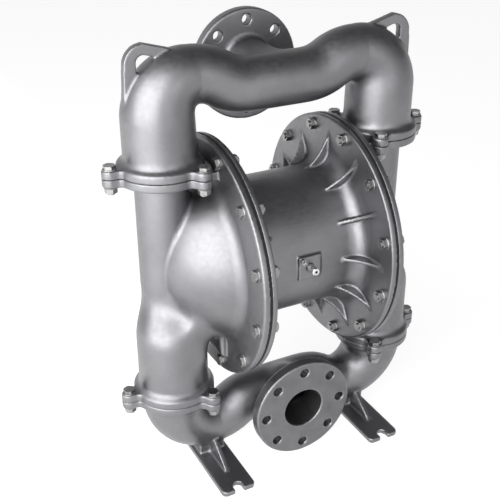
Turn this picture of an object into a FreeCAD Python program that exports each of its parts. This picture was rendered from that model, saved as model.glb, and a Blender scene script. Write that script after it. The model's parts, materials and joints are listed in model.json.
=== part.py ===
import FreeCAD, Part
import Sketcher
import math
import os
from FreeCAD import Placement, Rotation, Vector

# Air operated diaphragm pump, 3 inch, cast metal, millimetres.
# Modelled about the pump centre: X runs along the diaphragm axis, -Y is the suction side, +Z is up.
# Every piece is then lifted by the axis height, so the origin is at floor level under the centre.

os.makedirs("parts", exist_ok=True)
document = FreeCAD.newDocument("diaphragm_pump")
sheet = document.addObject("Spreadsheet::Sheet", "Sizes")

DRIVING_SIZES = {
    # pump head
    "diaphragm_offset": 123.2,
    "diaphragm_thick": 4.0,
    "rim_radius": 219.0,
    "rim_bolt_inset": 19.0,
    "rim_bolt_count": 12,
    "bolt_radius": 6.0,
    "bolt_play": 0.6,
    "head_flats": 19.0,
    "head_thick": 7.5,
    "nut_thick": 10.0,
    "cast_wall": 10.0,
    # centre body
    "barrel_radius": 128.5,
    "barrel_flare": 32.0,
    "hub_radius": 34.0,
    "rib_start": 66.0,
    "rib_rim_gap": 10.0,
    "rib_thick": 6.0,
    "rib_sag": 10.5,
    "front_pad_side": 44.0,
    "front_pad_raise": 4.5,
    "front_pad_lift": 4.0,
    "nipple_radius": 7.0,
    "nipple_reach": 20.0,
    "nipple_bore": 2.5,
    "nipple_depth": 13.0,
    "pad_screw_inset": 6.5,
    "pad_screw_radius": 3.0,
    "pad_screw_depth": 8.0,
    "pad_screw_head": 4.8,
    "pad_screw_head_thick": 3.5,
    "duct_wall": 5.0,
    "rod_clearance": 1.5,
    # rod and plates
    "rod_radius": 17.5,
    "stud_radius": 12.0,
    "rod_travel": 26.0,
    "back_gap": 12.2,
    "plate_radius": 105.0,
    "inner_plate_thick": 9.0,
    "outer_plate_rim": 8.0,
    "outer_plate_hub": 20.0,
    "plate_nut_flats": 36.0,
    "plate_nut_thick": 12.0,
    "arch_inner": 112.0,
    "arch_outer": 150.0,
    "arch_height": 6.0,
    "bush_wall": 6.5,
    "bush_length": 30.0,
    "seal_length": 8.0,
    "running_gap": 0.05,
    "fit_gap": 0.02,
    # pilot pin
    "pilot_radius": 5.0,
    "pilot_height": 62.0,
    "pilot_travel": 5.0,
    "pilot_bush_wall": 4.0,
    "contact_gap": 0.3,
    # fluid covers
    "cover_flange_thick": 11.0,
    "dome_radius": 154.8,
    "dome_centre": 84.8,
    "dome_flare": 26.0,
    "column_offset": 216.0,
    "column_radius": 46.5,
    "column_bore": 38.0,
    "chamber_radius": 64.0,
    "chamber_wall": 8.5,
    "shoulder_low": 118.0,
    "shoulder_high": 55.0,
    "inlet_outward": 5.0,
    "inlet_forward": 24.0,
    "inlet_tube_length": 24.0,
    "web_half_width": 54.0,
    "web_top_inset": 16.0,
    "web_top_drop": 7.0,
    "web_depth": 172.0,
    "web_leg": 14.0,
    "web_arch_radius": 11.0,
    "web_arch_crown": 124.0,
    "edge_break": 2.0,
    # joints between covers and manifolds
    "bridge_half_width": 58.0,
    "cover_clearance": 1.5,
    "shoulder_bore_drop": 4.0,
    "joint_plate_thick": 15.0,
    "joint_plate_round": 3.5,
    "joint_plate_radius": 74.0,
    "collar_radius": 71.0,
    "collar_rise": 17.0,
    "ear_circle": 88.0,
    "ear_radius": 14.0,
    "ear_blend": 10.0,
    # ball valves
    "ball_radius": 40.0,
    "ball_lift": 20.0,
    "seat_bore": 31.0,
    "seat_radius": 60.0,
    "seat_half_thick": 6.0,
    "seat_seal_width": 4.0,
    "seat_seal_thick": 2.0,
    "rest_gap": 0.2,
    "cage_gap": 1.5,
    "cage_thick": 7.0,
    "stop_reach": 20.0,
    "stop_thick": 11.0,
    # manifolds
    "port_height": 304.0,
    "arm_flat": 54.0,
    "arm_rise": 29.0,
    "arm_radius": 47.5,
    "port_bore": 40.0,
    "elbow_radius": 58.0,
    "outlet_tube_radius": 62.0,
    "outlet_tube_length": 94.0,
    "inlet_arm_drop": 10.0,
    "inlet_bend": 76.0,
    "inlet_elbow_radius": 60.0,
    "neck_radius": 48.0,
    "neck_flare": 10.0,
    "neck_root": 12.0,
    "port_flange_radius": 100.0,
    "port_flange_thick": 22.0,
    "port_flange_round": 3.0,
    "port_flange_face": 127.0,
    "port_hole_circle": 80.0,
    "port_hole_count": 8,
    "port_hole_radius": 9.0,
    # feet and lifting eyes
    "foot_drop": 16.5,
    "foot_offset": 161.0,
    "foot_width": 66.0,
    "foot_thick": 10.0,
    "foot_reach": 155.0,
    "foot_slot_width": 18.0,
    "foot_slot_depth": 20.0,
    "foot_web": 9.0,
    "foot_forward": 20.0,
    "foot_corner": 10.0,
    "foot_web_end": 46.0,
    "foot_web_top": 42.0,
    "foot_web_drop": 8.0,
    "pedestal_half": 36.0,
    "pedestal_inset": 8.0,
    "eye_thick": 15.0,
    "eye_bar": 19.0,
    "eye_outboard": 58.0,
    "eye_rise": 59.0,
    # main air valve
    "valve_length": 112.0,
    "valve_height": 90.0,
    "valve_depth": 56.0,
    "gasket_thick": 2.0,
    "rear_pad_raise": 9.5,
    "spool_radius": 16.0,
    "spool_travel": 8.0,
    "air_port_radius": 8.0,
    "air_port_offset": 36.0,
    "air_inlet_radius": 12.06,
    "thread_relief": 2.0,
    "land_clearance": 3.5,
    "exhaust_radius": 15.0,
    "end_cap_radius": 32.0,
    "end_cap_thick": 10.0,
    "muffler_radius": 21.0,
    "muffler_length": 76.0,
    "valve_corner_round": 10.0,
    "valve_screw_radius": 4.0,
    "valve_screw_play": 0.5,
    "valve_screw_inset": 9.0,
    "valve_screw_depth": 14.0,
    "valve_screw_head": 6.5,
    "valve_screw_head_thick": 8.0,
    "gasket_inset": 1.0,
    "cap_screw_radius": 2.5,
    "cap_screw_play": 0.5,
    "cap_screw_inset": 7.0,
    "cap_screw_depth": 10.0,
    "cap_screw_head": 4.5,
    "cap_screw_head_thick": 5.0,
    "cap_hollow_radius": 12.0,
    "cap_hollow_depth": 8.0,
    "cap_chamfer": 2.0,
    "spool_stem_radius": 10.0,
    "spool_land": 16.0,
    "spool_end_gap": 1.0,
    "muffler_neck_depth": 12.0,
    "muffler_hex_flats": 36.0,
    "muffler_hex_thick": 10.0,
    "muffler_groove_count": 5,
    "muffler_groove_width": 4.0,
    "muffler_groove_depth": 3.0,
    "muffler_groove_pitch": 11.0,
    "muffler_first_groove": 12.0,
    "muffler_wall": 4.0,
}

for row, (name, value) in enumerate(DRIVING_SIZES.items(), start=1):
    sheet.set(f"A{row}", name)
    sheet.set(f"B{row}", str(value))
    sheet.setAlias(f"B{row}", name)
document.recompute()


class Size:
    """A length that knows its present value and the sheet formula that gives it."""

    def __init__(self, value, formula):
        self.value = value
        self.formula = formula

    def _joined(self, other, sign, value):
        text = other.formula if isinstance(other, Size) else repr(float(other))
        return Size(value, f"({self.formula} {sign} {text})")

    def __add__(self, other):
        return self._joined(other, "+", self.value + number(other))

    def __sub__(self, other):
        return self._joined(other, "-", self.value - number(other))

    def __mul__(self, other):
        return self._joined(other, "*", self.value * number(other))

    def __truediv__(self, other):
        return self._joined(other, "/", self.value / number(other))

    def __neg__(self):
        return self * -1.0

    def __float__(self):
        return float(self.value)


def number(value):
    return value.value if isinstance(value, Size) else float(value)


def size(name):
    return Size(float(sheet.get(name)), f"Sizes.{name}")


def root_of(value, formula):
    return Size(math.sqrt(value), f"sqrt({formula})")


# Planes and heights that several pieces share
inlet_tee_depth = size("port_height") + size("inlet_arm_drop")
axis_z = inlet_tee_depth + size("arm_rise") + size("arm_radius") + size("foot_drop")
air_face = size("diaphragm_offset") - size("diaphragm_thick") / 2
fluid_face = size("diaphragm_offset") + size("diaphragm_thick") / 2
body_flange_face = air_face - size("cast_wall")
cover_flange_face = fluid_face + size("cover_flange_thick")
chamber_back = air_face - size("inner_plate_thick") - size("rod_travel") - size("back_gap")
partition_face = chamber_back - size("cast_wall")
cavity_radius = size("barrel_radius") - size("cast_wall")
rim_bolt_circle = size("rim_radius") - size("rim_bolt_inset")
rib_reach = size("rim_radius") - size("rib_rim_gap")
pad_face = size("barrel_radius") + size("rear_pad_raise")
flare_circle = size("barrel_radius") + size("barrel_flare")
elbow_centre_z = size("port_height") + size("arm_rise") - size("elbow_radius")
upper_joint_z = elbow_centre_z - size("outlet_tube_length")
inlet_bend_z = inlet_tee_depth + size("arm_rise") - size("inlet_bend")
lower_joint_z = -(inlet_bend_z - size("inlet_tube_length"))
inlet_x = size("column_offset") + size("inlet_outward")
inlet_y = -size("inlet_forward")
ball_squared = size("ball_radius") * size("ball_radius")
seat_squared = size("seat_bore") * size("seat_bore")
seat_to_ball = root_of((ball_squared - seat_squared).value, (ball_squared - seat_squared).formula)
ball_above_joint = size("seat_half_thick") + seat_to_ball + size("rest_gap")
bush_radius = size("rod_radius") + size("bush_wall")
valve_back_y = pad_face + size("gasket_thick")
valve_axis_y = valve_back_y + size("valve_depth") / 2
valve_front_y = valve_back_y + size("valve_depth")

# Cutting tools run past the faces they open by RUN_OUT; ribs and bosses reach ROOT into their wall
RUN_OUT = 1.0
ROOT = 2.0

X, Y, Z = Vector(1, 0, 0), Vector(0, 1, 0), Vector(0, 0, 1)
ORIGIN = Vector(0, 0, 0)
COLUMN = Vector(float(size("column_offset")), 0, 0)
INLET = Vector(float(inlet_x), float(inlet_y), 0)
SIDES = (("left", -1), ("right", 1))
EAR_ANGLES = (0, 120, 240)
pieces = []


def lifted(x=0.0, y=0.0, z=0.0, turn=0.0):
    return Placement(Vector(x, y, z + number(axis_z)), Rotation(Z, turn))


def keep(shape, label):
    """Stores a finished shape as a named piece of the pump, lifted to its real height."""
    piece = document.addObject("Part::Feature", label)
    piece.Label = label
    piece.Shape = shape
    piece.Placement = lifted().multiply(shape.Placement)
    pieces.append(piece)
    return piece


def point(x, z):
    return Vector(number(x), 0, number(z))


def arc_about(centre, start, end):
    """Arc from start to end round a centre in the XZ plane, the short way."""
    a, b = (start - centre).normalize(), (end - centre).normalize()
    middle = centre + (a + b).normalize() * (start - centre).Length
    return Part.Arc(start, middle, end).toShape()


def outline_face(*items):
    """Face in the XZ plane: points joined by lines, with ready edges taken as they come."""
    edges = []
    first = last = None
    for item in items:
        start = item if isinstance(item, Vector) else item.valueAt(item.FirstParameter)
        end = item if isinstance(item, Vector) else item.valueAt(item.LastParameter)
        if last is not None and last.distanceToPoint(start) > 1e-6:
            edges.append(Part.makeLine(last, start))
        if not isinstance(item, Vector):
            edges.append(item)
        first = start if first is None else first
        last = end
    if last.distanceToPoint(first) > 1e-6:
        edges.append(Part.makeLine(last, first))
    return Part.Face(Part.Wire(edges))


def turned(face, axis, centre=ORIGIN):
    return face.revolve(centre, axis, 360)


def rod_along(axis, radius, start, end, offset=ORIGIN):
    """Cylinder along a main axis between two coordinates of that axis."""
    low, high = sorted((number(start), number(end)))
    return Part.makeCylinder(number(radius), high - low, offset + axis * low, axis)


def drill(axis, radius, start, end, offset=ORIGIN):
    """Cylinder for cutting a hole, run past both of its ends."""
    low, high = sorted((number(start), number(end)))
    return rod_along(axis, radius, low - RUN_OUT, high + RUN_OUT, offset)


def block(x0, x1, y0, y1, z0, z1):
    (x0, x1), (y0, y1), (z0, z1) = (sorted(map(number, pair)) for pair in ((x0, x1), (y0, y1), (z0, z1)))
    return Part.makeBox(x1 - x0, y1 - y0, z1 - z0, Vector(x0, y0, z0))


def ring_points(count, radius, axis, start_angle=0.0):
    """Evenly spaced points round a circle about the X or Z axis through the origin."""
    for index in range(int(number(count))):
        angle = math.radians(start_angle + 360.0 * index / int(number(count)))
        across, up = number(radius) * math.cos(angle), number(radius) * math.sin(angle)
        yield Vector(0, across, up) if axis == X else Vector(across, up, 0)


def chamfered_hexagon(flats, thick, base, axis):
    """Hexagon head or nut whose outer corners are turned down to a cone."""
    corner, flat = number(flats) / math.sqrt(3), number(flats) / 2
    drop = (corner - flat) * 0.6
    length = number(thick)
    cone = Part.makeCone(corner + length - drop, flat - 0.2, length + corner - flat - drop + 0.2,
                         base, axis)
    return hexagon(flats, thick, base, axis).common(cone)


def hexagon(flats, thick, base, axis):
    """Hexagonal prism that starts at base and grows along the axis."""
    corner = number(flats) / math.sqrt(3)
    side = Z if abs(axis.y) > 0.5 else Y
    points = []
    for index in range(7):
        points.append(base + Rotation(axis, 60 * index).multVec(side * corner))
    return Part.Face(Part.makePolygon(points)).extrude(axis * number(thick))


def mirrored_left(shape):
    return shape.mirror(ORIGIN, X)


def both_ends(shape):
    return shape, mirrored_left(shape)


def turned_body(label, vertices, axis_name, placement):
    """Turned piece: a closed profile whose every corner is tied to the sheet, revolved once."""
    body = document.addObject("PartDesign::Body", label)
    body.Label = label
    sketch = body.newObject("Sketcher::SketchObject", label + "_profile")
    plane = [f for f in body.Origin.OriginFeatures if f.Role == "XZ_Plane"][0]
    sketch.AttachmentSupport = [(plane, "")]
    sketch.MapMode = "FlatFace"
    corners = [Vector(number(a), number(b), 0) for a, b in vertices]
    for index, corner in enumerate(corners):
        following = corners[(index + 1) % len(corners)]
        sketch.addGeometry(Part.LineSegment(corner, following), False)
    for index, (a, b) in enumerate(vertices):
        before = (index - 1) % len(corners)
        sketch.addConstraint(Sketcher.Constraint("Coincident", before, 2, index, 1))
        for kind, value, axis_line in (("DistanceX", a, -2), ("DistanceY", b, -1)):
            if number(value) == 0:
                sketch.addConstraint(Sketcher.Constraint("PointOnObject", index, 1, axis_line))
                continue
            where = sketch.addConstraint(
                Sketcher.Constraint(kind, -1, 1, index, 1, number(value)))
            sketch.setExpression(f"Constraints[{where}]", value.formula)
    turned_feature = body.newObject("PartDesign::Revolution", label + "_turned")
    turned_feature.Profile = (sketch, [""])
    turned_feature.ReferenceAxis = (sketch, [axis_name])
    turned_feature.Angle = 360
    sketch.Visibility = False
    body.Tip = turned_feature
    x, y, z, turn = placement
    body.Placement = lifted(number(x), number(y), number(z), turn)
    body.setExpression("Placement.Base.x", x.formula)
    body.setExpression("Placement.Base.y", y.formula)
    body.setExpression("Placement.Base.z", (axis_z + z).formula)
    pieces.append(body)
    return body


ZERO = size("fit_gap") * 0.0


# Centre body: barrel, two ribbed air chambers, rod hub, front and rear pads in one casting
def make_centre_body():
    wall_x = number(body_flange_face)
    rim = number(size("rim_radius"))
    flare = number(size("barrel_flare"))
    barrel = number(size("barrel_radius"))
    edge_break = number(size("edge_break"))
    centre_x = wall_x - flare
    centre = point(centre_x, flare_circle)
    flare_edge = arc_about(centre, point(centre_x, barrel), point(wall_x, flare_circle))
    half = outline_face(
        point(0, 0), point(0, barrel), flare_edge, point(wall_x, rim - edge_break),
        point(wall_x + edge_break, rim), point(air_face, rim), point(air_face, 0))
    half_body = turned(half, X)
    casting = half_body.fuse(mirrored_left(half_body))

    rib = make_rib()
    ribs = []
    count = int(number(size("rim_bolt_count")))
    for index in range(count):
        turned_rib = rib.copy()
        turned_rib.rotate(ORIGIN, X, 360.0 * index / count)
        ribs.extend(both_ends(turned_rib))
    front_half = number(size("front_pad_side")) / 2
    front_face = barrel + number(size("front_pad_raise"))
    lift = number(size("front_pad_lift"))
    front_pad = block(-front_half, front_half, -front_face, -cavity_radius.value - ROOT,
                      lift - front_half, lift + front_half)
    pad_half = number(size("valve_length")) / 2
    pad_high = number(size("valve_height")) / 2
    rear_pad = block(-pad_half, pad_half, cavity_radius - 2 * ROOT, pad_face, -pad_high, pad_high)
    casting = casting.fuse(ribs + [front_pad, rear_pad])

    inner_flare = number(size("barrel_flare") + size("cast_wall"))
    inner_edge = arc_about(centre, point(centre_x + inner_flare, flare_circle),
                           point(centre_x, cavity_radius))
    chamber = turned(outline_face(
        point(air_face + RUN_OUT, 0), point(air_face + RUN_OUT, flare_circle), inner_edge,
        point(chamber_back, cavity_radius), point(chamber_back, 0)), X)
    plenum = rod_along(X, cavity_radius, -partition_face, partition_face)
    plenum = plenum.cut(rod_along(X, size("hub_radius"), -partition_face, partition_face))
    port_x = number(size("air_port_offset"))
    port_r = number(size("air_port_radius"))
    duct_r = port_r + number(size("duct_wall"))
    duct_y = number(cavity_radius) - duct_r - RUN_OUT
    duct_block = block(port_x - duct_r, partition_face + RUN_OUT, duct_y - duct_r,
                       cavity_radius + RUN_OUT, -duct_r, duct_r)
    plenum = plenum.cut(list(both_ends(duct_block)))
    casting = casting.cut(list(both_ends(chamber)) + [plenum])

    cuts = []
    for hole in ring_points(size("rim_bolt_count"), rim_bolt_circle, X, 15.0):
        cuts.extend(both_ends(drill(
            X, size("bolt_radius") + size("bolt_play"), wall_x - ROOT, air_face, hole)))
    bush_hole = bush_radius + size("fit_gap")
    deep = chamber_back - size("bush_length") - size("seal_length")
    cuts.extend(both_ends(rod_along(X, bush_hole, deep, chamber_back + RUN_OUT)))
    cuts.append(drill(X, size("rod_radius") + size("rod_clearance"), -deep, deep))
    pilot_at = Z * number(size("pilot_height"))
    pilot_hole = size("pilot_radius") + size("pilot_bush_wall") + size("fit_gap")
    cuts.extend(both_ends(drill(X, pilot_hole, partition_face, chamber_back, pilot_at)))
    across = rod_along(Y, port_r, duct_y, pad_face + RUN_OUT, X * port_x)
    along = rod_along(X, port_r, port_x, chamber_back + RUN_OUT, Y * duct_y)
    cuts.extend(both_ends(across))
    cuts.extend(both_ends(along))
    for corner in valve_screw_places():
        cuts.append(drill(Y, size("valve_screw_radius") + size("running_gap"),
                          pad_face - size("valve_screw_depth"), pad_face, corner))
    cuts.append(drill(Y, size("nipple_radius") + size("fit_gap"), -front_face,
                      -front_face + number(size("nipple_depth")), Z * lift))
    cuts.append(drill(Y, size("pad_screw_radius") + size("fit_gap"), -front_face,
                      -front_face + number(size("pad_screw_depth")), pad_screw_place()))
    return casting.cut(cuts)


def make_rib():
    """One gusset rib: a plate in the XZ plane with a hollow-ground outer edge."""
    low = point(size("rib_start"), size("barrel_radius"))
    high = point(body_flange_face + ROOT, rib_reach)
    chord = high - low
    normal = Vector(chord.z, 0, -chord.x).normalize()
    middle = (low + high) * 0.5 + normal * number(size("rib_sag"))
    edge = Part.Arc(low, middle, high).toShape()
    deep = number(cavity_radius) + ROOT
    root_x = number(body_flange_face) + 2 * ROOT
    face = outline_face(edge, point(root_x, rib_reach), point(root_x, deep),
                        point(size("rib_start"), deep))
    rib = face.extrude(Y * number(size("rib_thick")))
    rib.translate(Y * (-number(size("rib_thick")) / 2))
    return rib


def valve_screw_places():
    reach_x = number(size("valve_length") / 2 - size("valve_screw_inset"))
    reach_z = number(size("valve_height") / 2 - size("valve_screw_inset"))
    for side_x in (-1, 1):
        for side_z in (-1, 1):
            yield Vector(side_x * reach_x, 0, side_z * reach_z)


def pad_screw_place():
    reach = number(size("front_pad_side") / 2 - size("pad_screw_inset"))
    return Vector(-reach, 0, number(size("front_pad_lift")) + reach)


keep(make_centre_body(), "centre_body")


def is_upright(edge):
    return abs(edge.tangentAt(edge.FirstParameter).z) > 0.9


def is_concave_ear_corner(edge):
    """Whether an upright edge is where an ear's flank leaves the round plate."""
    across = math.hypot(edge.CenterOfMass.x, edge.CenterOfMass.y)
    return abs(across - number(size("joint_plate_radius"))) < 0.5


def lies_at_height(edge, height):
    return abs(edge.BoundBox.ZMin - height) < 0.01 and abs(edge.BoundBox.ZMax - height) < 0.01


# Plate with three bolt ears, used on both halves of all four joints
def joint_plate(joint, outer):
    """Round plate from the joint plane to its rounded outer face, one ear pointing outboard."""
    low, high = sorted((joint, outer))
    plate = rod_along(Z, size("joint_plate_radius"), low, high)
    lobes = []
    for angle in EAR_ANGLES:
        lobe = block(0, size("ear_circle"), -size("ear_radius").value, size("ear_radius"), low, high)
        tip = rod_along(Z, size("ear_radius"), low, high, X * number(size("ear_circle")))
        lobe = lobe.fuse(tip)
        lobe.rotate(ORIGIN, Z, angle)
        lobes.append(lobe)
    plate = plate.fuse(lobes).removeSplitter()
    inner_corners = [e for e in plate.Edges if is_upright(e) and is_concave_ear_corner(e)]
    plate = plate.makeFillet(number(size("ear_blend")), inner_corners)
    outer_rim = [e for e in plate.Edges if lies_at_height(e, outer)]
    return plate.makeFillet(number(size("joint_plate_round")), outer_rim)


def joint_bolt_places(outboard):
    for angle in EAR_ANGLES:
        turn = math.radians(angle if outboard > 0 else angle + 180)
        reach = number(size("ear_circle"))
        yield Vector(reach * math.cos(turn), reach * math.sin(turn), 0)


def collar_edges(tube_radius, plate_side, away):
    """Hollow flare where a tube meets its joint plate, as its lowest point and an arc."""
    rise = number(size("collar_rise"))
    collar = number(size("collar_radius"))
    bulge = 1 - math.sqrt(0.5)
    foot = point(collar, plate_side)
    knee = point(collar, plate_side + away)
    tip = point(tube_radius, plate_side + away * rise)
    middle = Vector(tube_radius + bulge * (collar - tube_radius), 0, knee.z + bulge * (tip.z - knee.z))
    return foot, Part.Arc(knee, middle, tip).toShape()


def cage(place, joint_z, chamber_radius):
    """Four guide ribs round a valve ball, with stops over it."""
    rest_z = number(joint_z + ball_above_joint)
    lift = number(size("ball_lift"))
    ball = number(size("ball_radius"))
    reach = number(size("stop_reach"))
    stop_z = rest_z + lift + math.sqrt(ball ** 2 - reach ** 2) + number(size("contact_gap"))
    top = stop_z + number(size("stop_thick"))
    guide = ball + number(size("cage_gap"))
    outer = number(chamber_radius) + ROOT
    half = number(size("cage_thick")) / 2
    low = number(joint_z + size("seat_half_thick") + size("seat_seal_thick")) + ROOT
    ribs = []
    for angle in (45, 135, 225, 315):
        rib = block(guide, outer, -half, half, low, top).fuse(
            block(reach, outer, -half, half, stop_z, top))
        rib.rotate(ORIGIN, Z, angle)
        rib.translate(place)
        ribs.append(rib)
    return ribs


def leaning_shoulder(low_radius, low_z, high_radius, high_z):
    """Round shoulder that leads from the inlet chamber's axis over to the column's axis."""
    sections = []
    steps = 4
    for step in range(steps + 1):
        part_way = step / steps
        eased = part_way ** 2 * (3 - 2 * part_way)
        centre = INLET * (1 - eased) + COLUMN * eased + Z * (low_z + (high_z - low_z) * part_way)
        radius = low_radius + (high_radius - low_radius) * eased
        sections.append(Part.Wire([Part.makeCircle(radius, centre, Z)]))
    return Part.makeLoft(sections, True, False)


# Fluid cover: rim, domed chamber, column, inlet ball chamber and both joint plates
def make_fluid_cover():
    rim_r, edge_break = number(size("rim_radius")), number(size("edge_break"))
    rim = turned(outline_face(
        point(fluid_face, 0), point(fluid_face, rim_r), point(cover_flange_face - edge_break, rim_r),
        point(cover_flange_face, rim_r - edge_break), point(cover_flange_face, 0)), X)
    low_z, high_z = number(lower_joint_z), number(upper_joint_z)
    thick = number(size("joint_plate_thick"))
    column_r, chamber_r = number(size("column_radius")), number(size("chamber_radius"))
    shoulder_low, shoulder_high = -number(size("shoulder_low")), -number(size("shoulder_high"))
    foot, collar = collar_edges(chamber_r, low_z + thick, 1)
    chamber = turned(outline_face(
        point(0, low_z), point(size("collar_radius"), low_z), foot, collar,
        point(chamber_r, shoulder_low), point(0, shoulder_low)), Z)
    chamber = chamber.fuse(joint_plate(low_z, low_z + thick))
    chamber.translate(INLET)
    upper_plate = joint_plate(high_z, high_z - thick)
    upper_plate.translate(COLUMN)
    keep_clear = block(0, cover_flange_face + size("cover_clearance"), -rim_r, rim_r,
                       high_z - thick - RUN_OUT, high_z + RUN_OUT)
    upper_plate = upper_plate.cut(keep_clear)
    column = rod_along(Z, column_r, shoulder_high, high_z, COLUMN)
    shoulder = leaning_shoulder(chamber_r, shoulder_low, column_r, shoulder_high)
    bridge_half = number(size("bridge_half_width"))
    bridge = block(cover_flange_face - ROOT, number(size("column_offset")) - column_r,
                   -bridge_half, bridge_half, high_z - thick, high_z)
    casting = column.fuse([shoulder, chamber, upper_plate, rim, make_dome(0.0), bridge,
                           make_arched_web()])

    wall = number(size("chamber_wall"))
    recess = number(size("seat_radius") + size("fit_gap"))
    half = number(size("seat_half_thick"))
    seal = number(size("seat_seal_thick"))
    bore_r = number(size("column_bore"))
    inner_r = chamber_r - wall
    drop = number(size("shoulder_bore_drop"))
    chamber_bore = turned(outline_face(
        point(0, low_z - RUN_OUT), point(recess, low_z - RUN_OUT),
        point(recess, low_z + half + seal), point(inner_r, low_z + half + seal),
        point(inner_r, shoulder_low - drop), point(0, shoulder_low - drop)), Z)
    chamber_bore.translate(INLET)
    cuts = [make_dome(number(size("cast_wall"))), chamber_bore,
            leaning_shoulder(inner_r, shoulder_low - drop, bore_r, shoulder_high - drop),
            rod_along(Z, bore_r, shoulder_high - drop, high_z + RUN_OUT, COLUMN),
            rod_along(Z, recess, high_z - half, high_z + RUN_OUT, COLUMN)]
    bolt_hole = size("bolt_radius") + size("bolt_play")
    for hole in ring_points(size("rim_bolt_count"), rim_bolt_circle, X, 15.0):
        cuts.append(drill(X, bolt_hole, fluid_face, cover_flange_face, hole))
    for place in joint_bolt_places(1):
        cuts.append(drill(Z, bolt_hole, low_z, low_z + thick, place + INLET))
        cuts.append(drill(Z, bolt_hole, high_z - thick, high_z, place + COLUMN))
    casting = casting.cut(cuts)
    return casting.fuse(cage(INLET, lower_joint_z, inner_r))


def make_arched_web():
    """Web between the inlet chamber and the cover's rim, flush with both and arched below."""
    rim_half = number(size("web_half_width"))
    chamber_half = number(size("chamber_radius")) - 0.5
    face_x, depth = number(cover_flange_face), number(size("web_depth"))
    root_x = face_x - ROOT
    corners = [Vector(root_x, -rim_half, -depth), Vector(INLET.x, -chamber_half, -depth),
               Vector(INLET.x, chamber_half, -depth), Vector(root_x, rim_half, -depth)]
    plan = Part.Face(Part.makePolygon(corners + corners[:1])).extrude(Z * depth)
    top_x = number(size("column_offset") - size("web_top_inset"))
    top_z = -number(size("shoulder_high") + size("web_top_drop"))
    side = outline_face(point(root_x, -depth), point(INLET.x, -depth),
                        point(INLET.x, -size("shoulder_low")), point(top_x, top_z),
                        point(root_x, top_z)).extrude(Y * 2 * (chamber_half + RUN_OUT))
    side.translate(Y * -(chamber_half + RUN_OUT))
    web = plan.common(side)
    arch_r = number(size("web_arch_radius"))
    crown_x = face_x + number(size("web_leg")) + arch_r
    centre_z = -number(size("web_arch_crown")) - arch_r
    reach = chamber_half + RUN_OUT
    arch = rod_along(Y, arch_r, -reach, reach, Vector(crown_x, 0, centre_z))
    slot = block(crown_x - arch_r, crown_x + arch_r, -reach, reach, -depth - RUN_OUT, centre_z)
    web = web.cut([arch, slot])
    web.translate(Y * INLET.y)
    return web


def make_dome(inset):
    """Spherical dome with a flared foot on the rim, or its cavity when inset by the wall."""
    ball_r = number(size("dome_radius")) - inset
    flare_r = number(size("dome_flare")) + inset
    sphere = point(size("dome_centre"), 0)
    flare_x = number(cover_flange_face + size("dome_flare"))
    reach = number(size("dome_radius") + size("dome_flare"))
    flare_z = math.sqrt(reach ** 2 - (flare_x - sphere.x) ** 2)
    flare = point(flare_x, flare_z)
    touch = sphere + (flare - sphere) * (ball_r / reach)
    base_x = max(flare_x - flare_r, number(fluid_face))
    foot_z = flare_z
    if flare_x - number(fluid_face) < flare_r:
        drop = math.sqrt(flare_r ** 2 - (flare_x - number(fluid_face)) ** 2)
        foot_z = flare_z - drop
    foot = point(base_x, foot_z)
    apex = point(sphere.x + ball_r, 0)
    back = number(fluid_face) - (RUN_OUT if inset else 0)
    return turned(outline_face(
        point(back, 0), point(back, foot_z), arc_about(flare, foot, touch),
        arc_about(sphere, touch, apex)), X)


cover = make_fluid_cover()
keep(mirrored_left(cover), "fluid_cover_left")
keep(cover, "fluid_cover_right")


# Manifold halves share this: tube, elbow and arm for one side, outside or inside
def swept_round(spine, start_radius, end_radius):
    """Round tube body along one arc, its radius changing from start to end."""
    edge = spine.Edges[0]
    circles = []
    for parameter, radius in ((edge.FirstParameter, start_radius), (edge.LastParameter, end_radius)):
        circle = Part.makeCircle(radius, edge.valueAt(parameter), edge.tangentAt(parameter))
        circles.append(Part.Wire([circle]))
    shell = Part.BRepOffsetAPI.MakePipeShell(Part.Wire([edge]))
    for circle in circles:
        shell.add(circle)
    shell.build()
    shell.makeSolid()
    return shell.shape()


def run_sizes(sign):
    """Joint place, elbow radius and tee height of the upper (+1) or lower (-1) manifold."""
    if sign > 0:
        return COLUMN, number(size("elbow_radius")), number(size("port_height"))
    return INLET, number(size("inlet_bend")), number(inlet_tee_depth)


def manifold_run(sign, joint_z, start_radius, arm_radius):
    """Right-hand run of a manifold from its joint to the middle; sign is +1 above, -1 below."""
    place, bend, tee_z = run_sizes(sign)
    flat = number(size("arm_flat"))
    rise = number(size("arm_rise"))
    top_z = tee_z + rise
    arc_z = top_z - bend
    bend_x = place.x - bend
    start = Vector(place.x, 0, sign * arc_z)
    end = Vector(bend_x, 0, sign * top_z)
    elbow = swept_round(arc_about(Vector(bend_x, 0, sign * arc_z), start, end),
                        start_radius, arm_radius)
    tube = rod_along(Z, start_radius, joint_z, sign * arc_z, X * place.x)
    length = bend_x - flat
    radius = (rise ** 2 + length ** 2) / (4 * rise)
    middle = Vector(flat + length / 2, 0, sign * (tee_z + rise / 2))
    level = Vector(flat, 0, sign * tee_z)
    first = arc_about(Vector(bend_x, 0, sign * (top_z - radius)), end, middle)
    second = arc_about(Vector(flat, 0, sign * (tee_z + radius)), middle, level)
    runs = [tube, elbow, rod_along(X, arm_radius, 0, flat, Z * sign * tee_z)]
    for edge in (first, second):
        circle = Part.makeCircle(arm_radius, edge.valueAt(edge.FirstParameter),
                                 edge.tangentAt(edge.FirstParameter))
        face = Part.Face(Part.Wire([circle]))
        runs.append(Part.Wire([edge]).makePipe(face))
    for run in runs:
        run.translate(Y * place.y)
    return runs


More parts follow.
